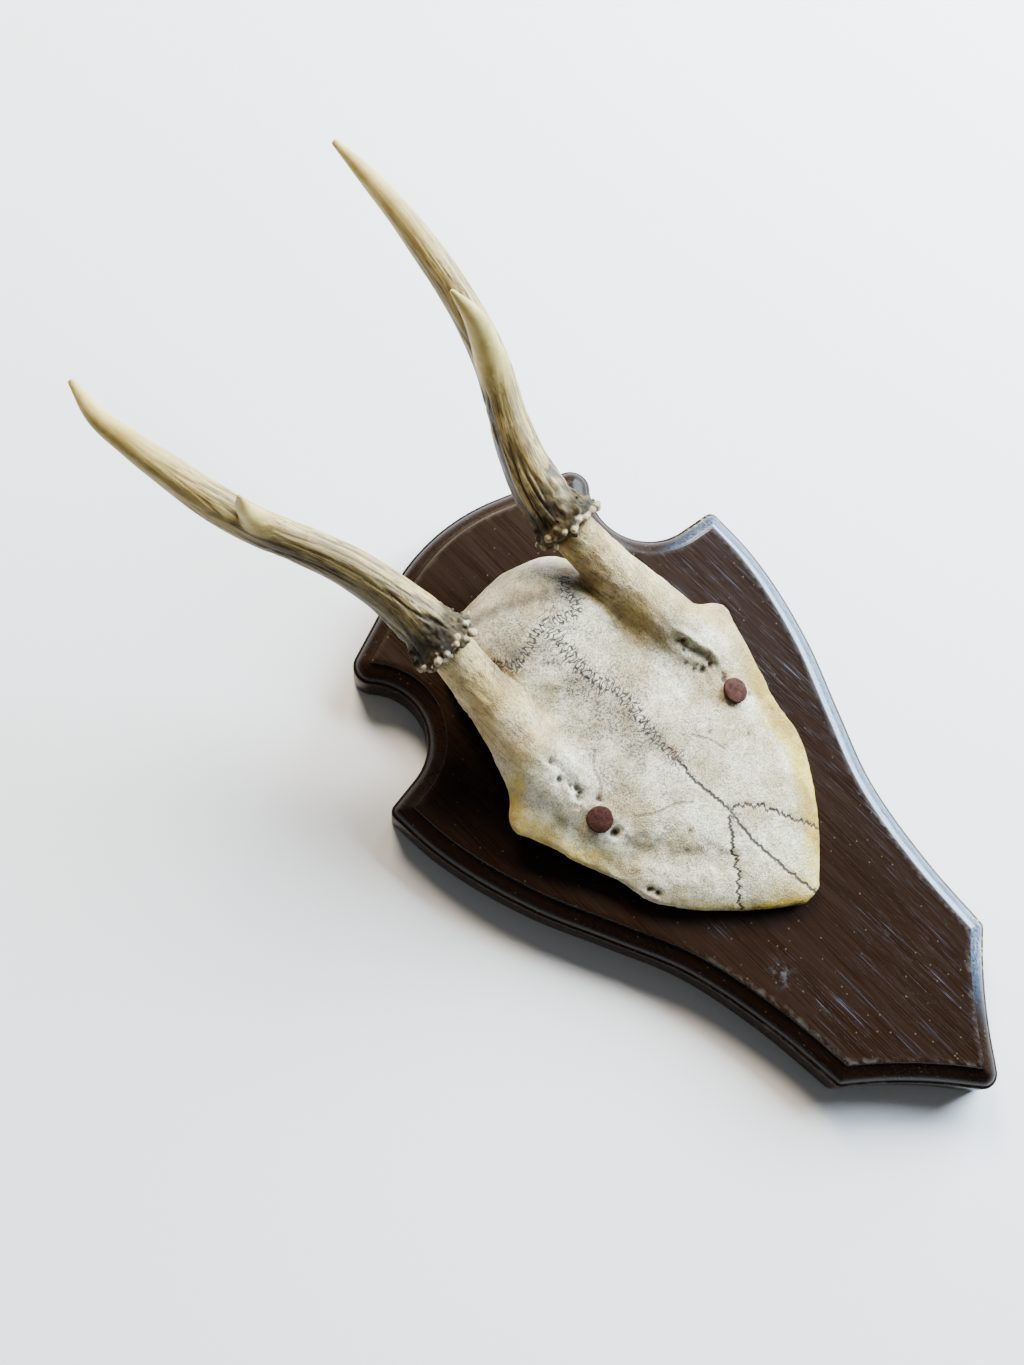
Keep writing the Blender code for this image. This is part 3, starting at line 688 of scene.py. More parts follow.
def bone_look():
    look = Look("skull_bone")
    place = look.position()
    cloud = look.noise(place, 0.075, 4.0, 0.6)
    mottled = look.noise(place, 0.5, 4.0, 0.7)
    fine = look.noise(place, 2.2, 3.0, 0.7)
    grain = look.fibres((1.7, 0.14, 1.7), 3.0, 0.6, (BONE_GRAIN_DIP, 0, -SKULL_TURN))
    scrape = look.fibres((0.22, 2.4, 0.5), 3.0, 0.6, (0, 0, SCRAPE_TURN))
    speck = look.cells(place, 1.35).fit(0.30, 0.12) * look.noise(place, 0.45).fit(0.42, 0.60)
    grey_shade = look.mask("grey_shade")
    tan = look.mask("tan")
    grit = look.noise(place, 1.7, 2.0, 0.8).fit(0.50, 0.57) * (grey_shade * 0.5 + 0.45)
    seam = suture_lines(look)
    bleached = cloud.fit(0.35, 0.65).blend((0.46, 0.36, 0.185), (0.86, 0.80, 0.575))
    honey = look.noise(place, 0.16, 3.0, 0.6).fit(0.42, 0.62).blend((0.56, 0.38, 0.095), (0.31, 0.165, 0.022))
    fat = cloud.fit(0.4, 0.6).blend((0.33, 0.205, 0.0), (0.60, 0.42, 0.006))
    grime_and_shade = fine.fit(0.42, 0.6).blend((0.035, 0.026, 0.019), (0.13, 0.10, 0.065))
    colour = look.layers(bleached, {
        "mottling": ((0.33, 0.25, 0.13), mottled.fit(0.46, 0.66) * 0.5),
        "scrapes": ((0.22, 0.18, 0.13), scrape.fit(0.62, 0.72) * 0.30),
        # painted shade, grey, in the middle of the skull and its hollows
        "grey_shade": ((0.27, 0.21, 0.12), grey_shade * 0.62),
        "grit": ((0.085, 0.062, 0.038), grit),
        "honey": (honey, tan * grain.fit(0.15, 0.8, 0.55, 1.0)),
        # a brown band on the rear ridge, and a spot of painted shade in the hollow left of the midline
        "brown_and_shade": ((0.085, 0.05, 0.024), look.mask("brown_and_shade") * mottled.fit(0.25, 0.6, 0.6, 1.0)),
        "grain": ((0.085, 0.044, 0.015), grain.fit(0.52, 0.68) * tan * 0.72),
        "fat": (fat, look.mask("fat") * mottled.fit(0.25, 0.60, 0.65, 1.0)),
        "specks": ((0.12, 0.09, 0.062), speck * 0.7),
        # grime, and painted shade in the crevice where the left pedicle meets the skull
        "grime_and_shade": (grime_and_shade, look.mask("stain_and_shade") * mottled.fit(0.3, 0.7, 0.4, 1.0)),
        "rust": ((0.24, 0.085, 0.02), look.mask("rust") * mottled.fit(0.3, 0.6, 0.4, 1.0)),
        "seams": ((0.028, 0.018, 0.011), seam * 0.97),
        "holes": ((0.035, 0.024, 0.017), look.mask("pit"))})
    normal = (fine + mottled - grit).bump(0.8, 0.42)
    normal = (grain * tan).bump(0.6, 0.45, normal)
    normal = (seam + speck * 0.6).bump(0.9, -0.35, normal)
    return look.finish({
        "Base Color": colour, "Roughness": cloud.fit(0.2, 0.8, 0.62, 0.46), "Normal": normal,
        "Subsurface Weight": 0.05, "Subsurface Radius": (0.0012, 0.0007, 0.0004)})


def suture_lines(look):
    """Dark lines from the seam mask: distance across, length along and reach of the squiggle.

    Where the reach is large they wind in loops, and elsewhere they zigzag.
    """
    parts = look.tree.nodes.new("ShaderNodeSeparateXYZ")
    look.put(look.mask("seam", "Vector"), parts.inputs[0])
    across, along, reach = (Field(look, socket) for socket in parts.outputs)
    swing = reach * look.noise(look.join(0.0, along, reach), 0.9, 1.0) * 1.5
    here = winding(look, across, along, swing)
    slope_across = (winding(look, across + SLOPE_STEP, along, swing) - here) / SLOPE_STEP
    slope_along = (winding(look, across, along + SLOPE_STEP, swing) - here) / SLOPE_STEP
    slope = slope_across.math("POWER", 2.0) + slope_along.math("POWER", 2.0) + 0.3
    worm = (here.math("ABSOLUTE") / slope.math("SQRT")).fit(0.38, 0.20) * reach.fit(1.05, 1.2)
    zigzag = look.noise(look.join(0.0, along, reach), 0.75, 2.0, 0.7) - 0.5
    line = (across + zigzag * (reach * 5.0)).math("ABSOLUTE")
    thin = line.fit(0.56, 0.24) * reach.fit(1.2, 1.05) * reach.fit(0.05, 0.45, 0.35, 1.0)
    return worm.math("MAXIMUM", thin)


def winding(look, across, along, swing):
    """A value whose zero line winds to and fro across a suture in uneven loops."""
    warp = look.noise(look.join(across, along, 0.0), 0.50, 1.0) * 9.0
    turn = (along * 3.3 + warp).math("SINE")
    return across + (turn * 2.2).math("TANH") * swing


def antler_look():
    look = Look("antler")
    flow = look.mask("flow", "Vector")
    base = look.mask("base")
    tip = look.mask("tip")
    strand = look.noise(look.stretched(flow, (0.7, 0.7, 0.05)), 1.0, 5.0, 0.72)
    thread = look.noise(look.stretched(flow, (2.4, 2.4, 0.12)), 1.0, 4.0, 0.65)
    cloud = look.noise(look.position(), 0.12, 3.0, 0.6)
    horn = strand.fit(0.3, 0.7).blend((0.20, 0.125, 0.034), (0.57, 0.435, 0.165))
    soot = thread.fit(0.42, 0.62).blend((0.0035, 0.0028, 0.0026), (0.020, 0.0155, 0.0125))
    pearl = cloud.fit(0.3, 0.7).blend((0.36, 0.26, 0.14), (0.72, 0.60, 0.39))
    polished = cloud.fit(0.3, 0.7).blend((0.40, 0.265, 0.050), (0.62, 0.49, 0.175))
    colour = look.layers(horn, {
        "threads": ((0.075, 0.042, 0.017), thread.fit(0.50, 0.60) * (tip * -0.65 + 0.8)),
        # painted shade: darker on the beam's side away from the window and in the tine's shadow beside its
        # base
        "brown_and_shade": ((0.026, 0.0145, 0.0055), look.mask("brown_and_shade") * strand.fit(0.25, 0.6, 0.95, 0.6)),
        "furrows": ((0.030, 0.018, 0.009), look.mask("groove") * 0.95),
        "soot": (soot, base * (cloud + strand).fit(0.7, 1.2, 0.62, 1.0)),
        "pearls": (pearl, look.mask("pearl")),
        "tip": (polished, tip * 0.8)})
    return look.finish({
        "Base Color": colour, "Roughness": strand.fit(0.3, 0.8, 0.42, 0.62).math("MAXIMUM", base * 0.9),
        "Normal": thread.bump(0.45, 0.15, strand.bump(0.35, 0.25)), "Specular IOR Level": 0.25})


def rust_look():
    look = Look("nail_rust")
    patch = look.noise(look.position(), 0.8, 5.0, 0.7)
    grain = look.noise(look.position(), 3.5, 3.0, 0.6)
    rust = patch.fit(0.3, 0.7).blend((0.022, 0.0062, 0.0036), (0.060, 0.0175, 0.0105))
    colour = look.layers(rust, {"dark grains": ((0.022, 0.011, 0.009), grain.fit(0.55, 0.75) * 0.6)})
    return look.finish({
        "Base Color": colour, "Roughness": patch.fit(0.3, 0.8, 0.9, 0.7),
        "Normal": (patch + grain).bump(0.5, 0.15), "Specular IOR Level": 0.18})


# Shield

def build_shield(look):
    outline = shield_outline(OUTLINE_FINENESS)
    rings = []
    for away, height in PROFILE:
        rings.append(np.column_stack([inset(outline, away), np.full(len(outline), height)]))
    side = np.vstack(rings)
    on_moulding = step(WALL_HEIGHT, WALL_HEIGHT + 1.5, side[:, 2])
    on_moulding = on_moulding * step(FACE_HEIGHT - 0.05, FACE_HEIGHT - 0.6, side[:, 2])
    side[:, 2] += MOULDING_WAVE * (layered(side, (14, 14, 40), 3, 2) - 0.5) * on_moulding
    faces = tube_faces(len(rings), len(outline))
    faces.append(list(range(len(outline)))[::-1])
    face_edge = rings[-1][:, :2]
    flat, triangles = face_fill(face_edge)
    top = np.column_stack([flat, np.full(len(flat), FACE_HEIGHT)])
    dips = FACE_WAVE * (layered(top, (18, 60, 40), 8, 2) - 0.5)
    dips = dips + FACE_GRAIN * (layered(top, (2.2, 30, 40), 9, 2) - 0.5)
    top[:, 2] += np.minimum(dips, 0) * step(0.5, 3.0, distances(flat, face_edge))
    faces += [tuple(int(k) + len(side) for k in triangle) for triangle in triangles]
    mesh = raw_mesh("shield_board", np.vstack([side, top]), faces)
    tidy_mesh(mesh, 0.03)
    smooth_faces(mesh)
    mesh.set_sharp_from_angle(angle=math.radians(38))
    store_shield_masks(mesh, outline)
    shield = add_object("shield_board", mesh, look)
    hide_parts("shield")


def face_fill(edge):
    """The flat face as a mesh of small triangles inside its edge."""
    low, high = edge.min(axis=0), edge.max(axis=0)
    xs = np.arange(low[0], high[0], FACE_GRID)
    ys = np.arange(low[1], high[1], FACE_GRID * 0.87)
    grid_x, grid_y = np.meshgrid(xs, ys)
    grid_x = grid_x + (np.arange(len(ys)) % 2)[:, None] * FACE_GRID / 2
    spots = np.column_stack([grid_x.ravel(), grid_y.ravel()])
    spots = spots[inside(spots, edge)]
    spots = spots[distances(spots, edge) > FACE_GRID * 0.55]
    kept = np.concatenate([[True], np.linalg.norm(np.diff(edge, axis=0), axis=1) > 0.005])
    edge = edge[kept]
    points = [Vector(p) for p in np.vstack([edge, spots])]
    loop = list(range(len(edge)))
    out_points, _, out_faces, _, _, _ = delaunay_2d_cdt(points, [], [loop], 1, 1e-7)
    return np.array([tuple(p) for p in out_points]), out_faces


def inside(points, edge):
    x, y = points[:, 0][:, None], points[:, 1][:, None]
    x0, y0 = edge[:, 0][None], edge[:, 1][None]
    x1, y1 = np.roll(edge[:, 0], -1)[None], np.roll(edge[:, 1], -1)[None]
    crosses = (y0 > y) != (y1 > y)
    where = x0 + (y - y0) * (x1 - x0) / np.where(y1 == y0, 1e-9, y1 - y0)
    return np.sum(crosses & (x < where), axis=1) % 2 == 1


def store_shield_masks(mesh, outline):
    """Where the shield is worn, dirty and varnished, and where glints, sheen and the window's reflection are
    painted, the glints as pale chips.
    """
    places = read_points(mesh)
    across, along, height = places.T
    away = distances_to(places[:, :2], outline)
    # wear, and on the right side of the face a band where the blue scratches stand in for the window's sheen:
    # partly painted reflection
    wear_and_sheen = 0.4 * step(12, 30, across) * step(85, 60, along) + 0.3 * step(-45, -62, along)
    for x, y, reach in SCUFFS:
        wear_and_sheen = wear_and_sheen + spot(places, (x, y), (SCUFF_WIDTH, reach))
    rims = np.exp(-((away - 0.35) / 0.35) ** 2) + np.exp(-((away - FACE_INSET) / 0.45) ** 2)
    moulding = step(FACE_INSET - 0.1, FACE_INSET - 0.5, away)
    moulding = moulding * step(WALL_HEIGHT - 0.6, WALL_HEIGHT + 0.2, height)
    lit = step(8, 26, across) * step(62, 54, along)
    # painted glints, drawn as worn chips: at the lower right end of the moulding and at the right shoulder
    chips_and_glints = step(-62, -80, along) * step(16, 26, across) + spot(places, (62.0, 61.0), 6.0)
    store(mesh, "wear_and_sheen", np.clip(wear_and_sheen, 0, 1))
    store(mesh, "smudge", spot(places, (-21.0, -47.0), (2.6, 3.4)))
    store(mesh, "edge", np.clip(rims, 0, 1) * step(-15, -45, along) * (height > 1))
    store(mesh, "varnish", moulding * (0.02 + 0.68 * lit))
    # painted reflection of the window, on the right side of the moulding that faces it
    store(mesh, "window_reflection_paint", moulding * lit * step(0.7, 1.6, away))
    store(mesh, "chip_and_glint", moulding * np.clip(chips_and_glints, 0, 1))


# Skull plate

def skull_height(across, along):
    width = spline(HALF_WIDTH, along)
    share = np.clip(np.abs(across) / width, 0, 1)
    ridge = spline(RIDGE, along)
    height = ridge + (spline(EDGE, along) - ridge) * share ** 3.0
    (a0, b0), (a1, b1) = GROOVE
    t = np.clip((b0 - along) / (b0 - b1), 0, 1)
    off = np.hypot(np.abs(across) - (a0 + (a1 - a0) * t), along - (b0 + (b1 - b0) * t))
    height = height - GROOVE_DEPTH * np.exp(-(off / GROOVE_WIDTH) ** 2)
    brow = np.hypot((np.abs(across) - BROW[0]) / 4.0, (along - BROW[1]) / 9.0)
    return height + BROW_RISE * np.exp(-brow ** 2)


def skull_shell(rows, columns):
    """The domed plate without its pedicles, as a closed shell with a slightly ragged edge."""
    b, s = np.meshgrid(np.linspace(0, SKULL_LENGTH, rows), np.linspace(-1, 1, columns), indexing="ij")
    b, s = b.ravel(), s.ravel()
    ragged = 1 + 0.012 * (noise(np.column_stack([b, np.sign(s) * 9, 0 * b]), (4.5, 1, 1), 5) - 0.5)
    a = s * spline(HALF_WIDTH, b) * ragged
    outer = skull_height(a, b)
    inner = np.maximum(outer - SHELL, SKULL_FOOT)
    outer = np.maximum(outer, inner + 1.6)
    points = np.vstack([np.column_stack([a, b, z]) for z in (outer, inner)])
    count = rows * columns
    faces = []
    for i in range(rows - 1):
        for j in range(columns - 1):
            k = i * columns + j
            faces.append((k, k + 1, k + columns + 1, k + columns))
            faces.append((count + k, count + k + columns, count + k + columns + 1, count + k + 1))
    rim = list(range(columns)) + [i * columns + columns - 1 for i in range(1, rows)]
    rim += [(rows - 1) * columns + j for j in range(columns - 2, -1, -1)]
    rim += [i * columns for i in range(rows - 2, 0, -1)]
    for n, k in enumerate(rim):
        ahead = rim[(n + 1) % len(rim)]
        faces.append((k, count + k, count + ahead, ahead))
    return points, faces


def pedicle(sign):
    stem, faces = tube([(sign * a, b, z, r) for a, b, z, r in PEDICLE], 90, 64, last_axis=BURR_AXIS)
    stem[:, 2] = np.maximum(stem[:, 2], SKULL_FOOT + 1.0)
    return stem, faces


def seam_coordinates(points):
    """Signed distance across the nearest suture, the length along it and the reach of its squiggle."""
    best = np.full(len(points), FAR)
    seam = np.zeros((len(points), 3))
    seam[:, 0] = FAR
    for n, (line, first_reach, last_reach) in enumerate(SUTURES.values()):
        path = curve_through(line, 60)
        ahead = np.gradient(path, axis=0)
        ahead /= np.linalg.norm(ahead, axis=1)[:, None]
        steps = np.concatenate([[0], np.cumsum(np.linalg.norm(np.diff(path, axis=0), axis=1))])
        for low in range(0, len(points), 20000):
            block = points[low:low + 20000, :2]
            away = np.linalg.norm(block[:, None] - path[None], axis=2)
            k = np.argmin(away, axis=1)
            off = block - path[k]
            across = off[:, 0] * ahead[k, 1] - off[:, 1] * ahead[k, 0]
            along = steps[k] + np.sum(off * ahead[k], axis=1)
            beyond = (along < 0) | (along > steps[-1])
            near = np.min(away, axis=1)
            reach = first_reach + (last_reach - first_reach) * k / (len(path) - 1)
            ranked = near / (reach + 0.6)
            wins = ranked < best[low:low + 20000]
            rows = np.arange(low, low + len(block))[wins]
            best[rows] = ranked[wins]
            found = np.column_stack([np.where(beyond, near, across), along + n * SEAM_SHIFT, reach])
            seam[rows] = found[wins]
    return seam


def build_skull(look):
    mesh = fused("skull_bone", [skull_shell(240, 170), pedicle(-1), pedicle(1)], SKULL_VOXEL)
    points, edges = read_points(mesh), read(mesh.edges, "vertices", 2, np.int64)
    points = relax(points, edges, np.full(len(points), 0.5), 4)
    stem_path = curve_through(PEDICLE, 60)[::4, :3]
    mirrored = np.column_stack([np.abs(points[:, 0]), points[:, 1:]])
    to_stem = np.min(np.linalg.norm(mirrored[:, None] - stem_path[None], axis=2), axis=1)
    root = step(17, 11, to_stem) * step(104, 92, points[:, 1])
    points = relax(points, edges, 0.6 * root, 45)
    write_points(mesh, points)
    normals = read(mesh.vertices, "normal", 3)
    facing = step(0.1, 0.5, normals[:, 2])
    spread = step(96, 80, points[:, 1])
    on_stem = step(0, 1, (11.5 + 3.5 * spread - to_stem) / (3.0 + 3.0 * spread)) * step(70, 84, points[:, 1])
    seam = seam_coordinates(points)
    holes, dark = hole_depths(points, facing)
    push = 0.65 * (layered(points, 9.0, 1, 4) - 0.5) + 0.24 * (layered(points, 2.1, 2, 2) - 0.5)
    push = push + 0.5 * (layered(points, (1.3, 11.0, 1.6), 4, 2) - 0.5) * on_stem
    push = push + (hollow_heights(points) + suture_heights(points, seam)) * facing - holes
    points = points + normals * push[:, None]
    store_skull_masks(mesh, points, seam, facing, on_stem)
    store(mesh, "pit", dark)
    write_points(mesh, to_world(points))
    smooth_faces(mesh)
    skull = add_object("skull_bone", mesh, look)
    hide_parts("skull_plate")


def hollow_heights(points):
    """The long hollows and the lips beside them."""
    height = np.zeros(len(points))
    uneven = 0.5 * (noise(points, 2.2, 61)[:, None] - 0.5)
    for start, end, width, depth, lip in HOLLOWS:
        line = np.array(end) - np.array(start)
        share = np.clip(((points[:, :2] - start) @ line) / (line @ line), 0, 1)
        gap = points[:, :2] - start - share[:, None] * line + uneven * width
        off = np.hypot(gap[:, 0], gap[:, 1]) / width
        outward = gap[:, 0] * np.sign(start[0] + 0.01) / width
        height -= depth * np.exp(-off ** 2)
        height += lip * np.exp(-((outward - 1.7) / 0.8) ** 2 - np.maximum(off - 1.9, 0) ** 2)
    return height


def hole_depths(points, facing):
    """The small holes, and how dark they are."""
    depth, dark = np.zeros(len(points)), np.zeros(len(points))
    ragged = 0.45 + 1.1 * noise(points, 1.1, 62)
    for a, b, radius, deepest in PITS:
        off = np.hypot(points[:, 0] - a, points[:, 1] - b) / radius * ragged
        hole = np.exp(-off ** 2) * facing
        depth += deepest * hole
        dark = np.maximum(dark, 0.9 * step(0.25, 0.85, hole))
    return depth, dark


def suture_heights(points, seam):
    """Rough raised bands where the sutures wind, and a narrow groove along the others."""
    across, _, reach = seam.T
    wide = step(1.0, 1.6, reach)
    band = np.exp(-(across / (reach + 0.4)) ** 2) * (0.75 * (noise(points, 1.0, 12) - 0.5) + 0.12)
    groove = 0.45 * np.clip(reach, 0.1, 0.6) * np.exp(-(across / 0.6) ** 2)
    return band * wide - groove * (1 - wide)


def store_skull_masks(mesh, points, seam, facing, on_stem):
    """Where the bone is stained, and where shade is painted on it, by place. Most stains have patchy edges.
    """
    a, b, _ = points.T
    edge = spline(HALF_WIDTH, b) - np.abs(a)
    patchy = layered(points, 6.0, 21, 3)
    seam[:, 0] = np.where(facing > 0.05, seam[:, 0], FAR)
    fat = 0.85 * (a < 0) * step(84, 76, b) * step(38, 52, b) * step(8.5, 2.5, edge + 6 * (patchy - 0.5))
    fat = fat + (a > 0) * step(66, 50, b) * step(0, 12, b) * step(9.0, 4.5, edge + 8 * (patchy - 0.5))
    fat = fat + 0.7 * step(16, 3, b + 6 * (patchy - 0.5) + 0.25 * np.abs(a + 5))
    fat = fat + 0.7 * (a < 0) * step(40, 14, b) * step(4.5, 1.0, edge)
    brow = 0.7 * (a > 0) * step(58, 68, b) * step(84, 76, b) * step(12, 2, edge)
    ridge = np.exp(-((b - 111.5 + 0.62 * a) / 3.0) ** 2) * step(0.18, 0.45, patchy)
    # painted shade: the soft spot darkens the hollow between the left pedicle and the midline; the band along
    # the ridge is the bone's own brown
    brown_and_shade = 0.85 * ridge + 0.45 * spot(points, (-11.0, 107.5), (5.5, 5.0))
    # painted shade: grey in the middle of the skull between the pedicles and in the hollow at the bregma,
    # stronger left of the midline, on the side away from the window
    middle = np.exp(-((np.abs(a) - 6) / 14) ** 2) * step(40, 66, b) * step(120, 98, b)
    grey_shade = middle * step(0.30, 0.60, patchy) * (0.65 + 0.35 * step(8, -8, a))
    grey_shade = grey_shade + 0.25 * patchy * spot(points, (0.0, 106.0), 13.0)
    stain_and_shade = np.zeros(len(points))
    for x, y, width, length, amount in STAINS_AND_SHADE:
        stain_and_shade = np.maximum(stain_and_shade, amount * spot(points, (x, y), (width, length)))
    rust = 0.85 * spot(points, (0.2, 53.0), (1.6, 3.2))
    for x, y in RUST_RINGS:
        rust = np.maximum(rust, 0.5 * np.exp(-(np.hypot(a - x, b - y) / 4.6) ** 4) * patchy)
    store(mesh, "seam", seam, "FLOAT_VECTOR", "vector")
    store(mesh, "fat", np.clip(fat, 0, 1) * 0.95)
    store(mesh, "tan", np.clip((0.55 + 0.45 * step(76, 112, b)) * on_stem + brow, 0, 1))
    store(mesh, "brown_and_shade", np.clip(brown_and_shade * (1 - on_stem), 0, 1))
    store(mesh, "grey_shade", np.clip(grey_shade, 0, 1))
    store(mesh, "stain_and_shade", np.clip(stain_and_shade * (0.45 + 0.9 * patchy), 0, 0.9))
    store(mesh, "rust", rust)


# Antlers

def burr_swell(at):
    """The burr's collar and the swelling above it."""
    return 2.9 * math.exp(-((at - 2.0) / 2.3) ** 2) + 0.9 * math.exp(-((at - 5.5) / 3.5) ** 2)


def burr_pearls(knots, seed):
    """Centre, radius and paleness of the pearls around the burr and of smaller ones up the beam."""
    draw = np.random.default_rng(seed)
    where, path = even_path(knots, 120)
    frames = frames_along(path[:, :3], first_axis=BURR_AXIS)
    pearls = []
    for at, reach, count, size in PEARL_ROWS:
        for n in range(count):
            turn = 2 * math.pi * (n + draw.uniform(-0.45, 0.45)) / count
            height = at + draw.uniform(-0.8, 1.2)
            k = int(np.argmin(np.abs(where - height)))
            _, side, up = frames[k]
            out = math.cos(turn) * side + math.sin(turn) * up
            radius = size * draw.uniform(0.5, 1.4)
            centre = path[k, :3] + out * (reach + draw.uniform(-1.5, 0.6))
            pearls.append((centre, radius, draw.uniform(0.5, 1.0) * (1.0 if at < PALE_ROWS_BELOW else 0.2)))
    return pearls


def furrows(flow, seed):
    """How deep each point lies in a furrow, and how high on a rib, from 0 to 1."""
    sway = [noise(flow, (9, 9, 9), seed + 5), noise(flow, (9, 9, 9), seed + 6), 0 * flow[:, 0]]
    bent = flow + 0.9 * np.column_stack(sway)
    wide = np.abs(noise(bent, (2.5, 2.5, 30), seed) - 0.5)
    narrow = np.abs(noise(bent, (1.5, 1.5, 16), seed + 1) - 0.5)
    deep = step(0.35, 0.62, noise(flow, (5, 5, 22), seed + 7))
    low = step(60, 12, flow[:, 2])
    groove = step(0.095, 0.02, wide) * (0.25 + 0.75 * deep * (0.35 + 0.65 * low))
    groove = groove + 0.6 * step(0.08, 0.02, narrow) * deep
    return np.clip(groove, 0, 1), step(0.16, 0.40, wide)


def pearl_mask(points, flow, pearls):
    outward = np.hypot(flow[:, 0], flow[:, 1])
    on_burr = step(6.5, 2.5, flow[:, 2]) * step(7.4, 9.8, outward)
    pale = np.zeros(len(points))
    for centre, radius, tone in pearls:
        near = np.linalg.norm(points - centre, axis=1)
        pale = np.maximum(pale, tone * on_burr * step(radius * 1.3, radius * 0.8, near))
    return pale * 0.85


def build_antler(side, beam_knots, tine_knots, seed, shade_strength, look):
    pearls = burr_pearls(beam_knots, seed)
    parts = [tube(beam_knots, 260, 56, burr_swell, first_axis=BURR_AXIS), tube(tine_knots, 90, 44)]
    parts += [ball(centre, radius) for centre, radius, _ in pearls]
    mesh = fused("antler_%s" % side, parts, ANTLER_VOXEL)
    points, edges = read_points(mesh), read(mesh.edges, "vertices", 2, np.int64)
    flow, size = flow_coordinates(points, beam_knots)
    tine_flow, tine_size = flow_coordinates(points, tine_knots)
    along, tine_along = flow[:, 2], tine_flow[:, 2]
    off_beam = np.hypot(flow[:, 0], flow[:, 1]) - size
    off_tine = np.hypot(tine_flow[:, 0], tine_flow[:, 1]) - tine_size
    crotch = np.exp(-(np.maximum(np.abs(off_beam), np.abs(off_tine)) / 3.2) ** 2) * (tine_along > 3)
    points = relax(points, edges, np.full(len(points), 0.3), 2)
    points = relax(points, edges, 0.6 * crotch, 90)
    write_points(mesh, points)
    normals = read(mesh.vertices, "normal", 3)
    on_tine = step(-0.5, 0.5, off_beam - off_tine) * (tine_along > 2)
    length = even_path(beam_knots, 50)[0][-1]
    tip = np.maximum(step(length - 48, length - 12, along), on_tine * step(8, 24, tine_along))
    groove, rib = furrows(flow, seed)
    fade = (1 - tip) * step(3, 7, along) * (1 - 0.45 * step(35, 90, along))
    push = fade * (0.14 * rib - 0.42 * groove)
    push = push + 0.10 * (noise(flow, (0.8, 0.8, 5), seed + 2) - 0.5) * (1 - tip)
    push = push + 1.3 * (layered(points, 1.9, seed + 3, 3) - 0.55) * step(18, 6, along)
    points = points + normals * push[:, None]
    # painted shade: the side of the beam that faces away from the window, to a strength set for each antler,
    # and the tine's painted shadow on the beam beside its base
    shaded_side = step(0.38, 0.02, normals[:, 0] + 0.5 * (noise(flow, (2, 2, 14), seed + 9) - 0.5))
    shaded_side = shaded_side * step(74, 56, along) * (1 - on_tine * step(6, 20, tine_along))
    tine_shadow = np.exp(-(off_tine / 4.0) ** 2) * (1 - on_tine) * step(0.6, 0.1, normals[:, 0]) * (tine_along > 3)
    store(mesh, "flow", flow, "FLOAT_VECTOR", "vector")
    store(mesh, "groove", groove * (0.15 + 0.85 * fade) * (1 - 0.85 * tip))
    store(mesh, "base", step(15, 6, along - 6 * (noise(points, 2.5, seed) - 0.5)))
    store(mesh, "pearl", pearl_mask(points, flow, pearls))
    store(mesh, "tip", tip)
    store(mesh, "brown_and_shade", shade_strength * np.maximum(shaded_side, 0.9 * tine_shadow))
    write_points(mesh, to_world(points))
    smooth_faces(mesh)
    antler = add_object("antler_%s" % side, mesh, look)
    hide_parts("antler_%s_beam" % side, "antler_%s_tine" % side)


# Nails

def surface_normal(across, along):
    reach = 1.0
    slope_a = (skull_height(across + reach, along) - skull_height(across - reach, along)) / (2 * reach)
    slope_b = (skull_height(across, along + reach) - skull_height(across, along - reach)) / (2 * reach)
    return Vector((-float(slope_a), -float(slope_b), 1.0)).normalized()


def nail_profile():
    """Radius and height from the shank up to the middle of the slightly domed head."""
    head, low, rim = NAIL_HEAD_RADIUS, NAIL_LIFT, NAIL_LIFT + 0.6
    stem = [(NAIL_SHANK_RADIUS, -3.0), (NAIL_SHANK_RADIUS, -0.6), (NAIL_SHANK_RADIUS, low - 0.3)]
    edge = [(head - 0.5, low - 0.25), (head - 0.1, low - 0.1), (head, low + 0.2), (head, rim)]
    dome = [(head * math.cos(t), rim + NAIL_DOME * math.sin(t)) for t in np.linspace(0.35, 1.45, 7)]
    return stem + edge + dome


def build_nails(look):
    profile = nail_profile()
    turns = np.linspace(0, 2 * math.pi, NAIL_SIDES, endpoint=False)
    for n, (name, (across, along)) in enumerate(NAILS.items()):
        rings = [np.column_stack([r * np.cos(turns), r * np.sin(turns), 0 * turns + z]) for r, z in profile]
        points = np.vstack(rings)
        rough = layered(points + 40 * n, 1.3, 31 + n, 3) - 0.5
        points[:, 2] += 0.22 * rough * (points[:, 2] > NAIL_LIFT)
        dents = noise(points * np.array([1, 1, 0]) + 20 * n, 2.2, 40) > 0.5
        at_rim = step(3.3, 3.7, np.hypot(points[:, 0], points[:, 1]))
        points[:, :2] *= (1 - 0.03 * dents * at_rim)[:, None]
        faces = tube_faces(len(rings), NAIL_SIDES)
        faces.append(list(range(NAIL_SIDES))[::-1])
        faces.append([(len(rings) - 1) * NAIL_SIDES + k for k in range(NAIL_SIDES)])
        tilt = np.array(surface_normal(across, along).to_track_quat("Z", "Y").to_matrix())
        placed = points @ tilt.T + np.array([across, along, float(skull_height(across, along))])
        mesh = raw_mesh(name + "_rusty", to_world(placed), faces)
        tidy_mesh(mesh)
        smooth_faces(mesh)
        mesh.set_sharp_from_angle(angle=math.radians(50))
        nail = add_object(name + "_rusty", mesh, look)
        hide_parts(name)


# Floor, light and camera

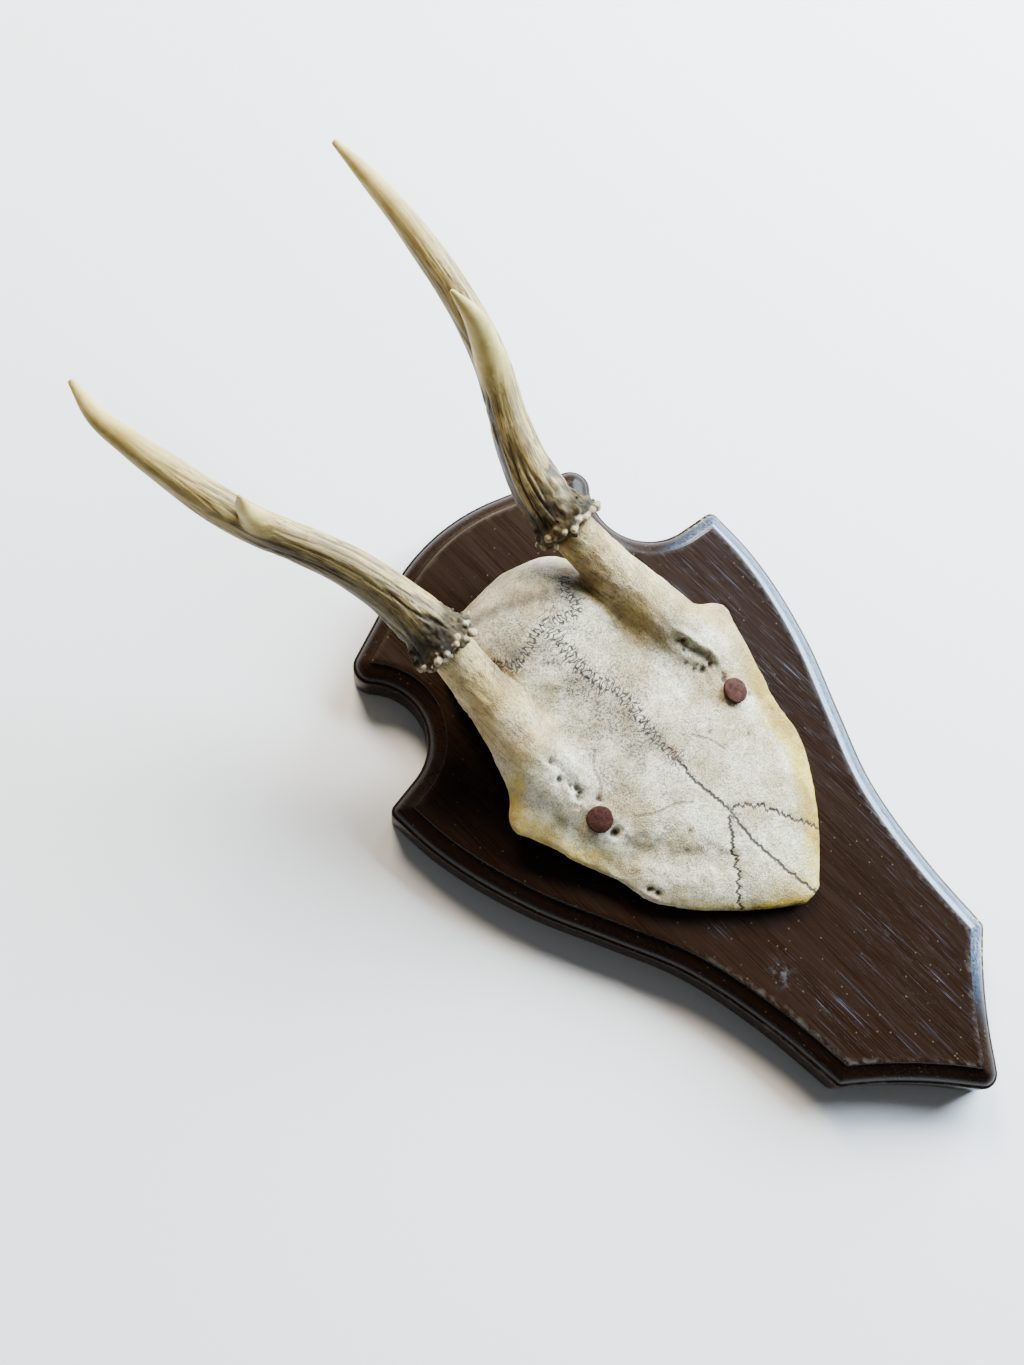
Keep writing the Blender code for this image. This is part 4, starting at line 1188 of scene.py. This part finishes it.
def build_stage():
    look = Look("floor").finish({"Base Color": (0.86, 0.86, 0.86), "Roughness": 0.9})
    corners = [(-FLOOR, -FLOOR, 0), (FLOOR, -FLOOR, 0), (FLOOR, FLOOR, 0), (-FLOOR, FLOOR, 0)]
    floor = add_object("floor", raw_mesh("floor", corners, [(0, 1, 2, 3)]), look, body=None)


def area_light(name, place, size, power, colour):
    data = bpy.data.lights.new(name, "AREA")
    data.shape = "RECTANGLE"
    data.size, data.size_y = size
    data.energy = power
    data.color = colour
    light = bpy.data.objects.new(name, data)
    bpy.context.scene.collection.objects.link(light)
    light.location = place
    direction = Vector(LIGHT_AIM) - Vector(place)
    light.rotation_euler = direction.to_track_quat("-Z", "Y").to_euler()


def build_light():
    world = bpy.data.worlds.new("studio")
    world.use_nodes = True
    world.node_tree.nodes["Background"].inputs["Color"].default_value = (0.94, 0.97, 1.0, 1)
    world.node_tree.nodes["Background"].inputs["Strength"].default_value = 0.13
    bpy.context.scene.world = world
    area_light("window", (0.98, 0.02, 0.56), (1.0, 0.8), 104, (0.70, 0.85, 1.0))
    area_light("lamp", (0.55, 0.95, 0.9), (0.5, 0.5), 40, (1.0, 0.87, 0.68))


def build_camera():
    data = bpy.data.cameras.new("camera")
    data.sensor_width = SENSOR
    data.lens = LENS
    data.clip_start = 0.01
    camera = bpy.data.objects.new("camera", data)
    bpy.context.scene.collection.objects.link(camera)
    back = -Vector(CAMERA_FORWARD).normalized()
    right = Vector(CAMERA_UP).cross(back).normalized()
    up = back.cross(right)
    turn = Matrix((right, up, back)).transposed()
    camera.matrix_world = Matrix.Translation(Vector(CAMERA_PLACE)) @ turn.to_4x4()
    bpy.context.scene.camera = camera


build_shield(oak_look())
build_skull(bone_look())
antler = antler_look()
build_antler("right", BEAM_RIGHT, TINE_RIGHT, 11, 0.5, antler)
build_antler("left", BEAM_LEFT, TINE_LEFT, 23, 0.9, antler)
build_nails(rust_look())
build_stage()
build_light()
build_camera()

bpy.context.view_layer.update()
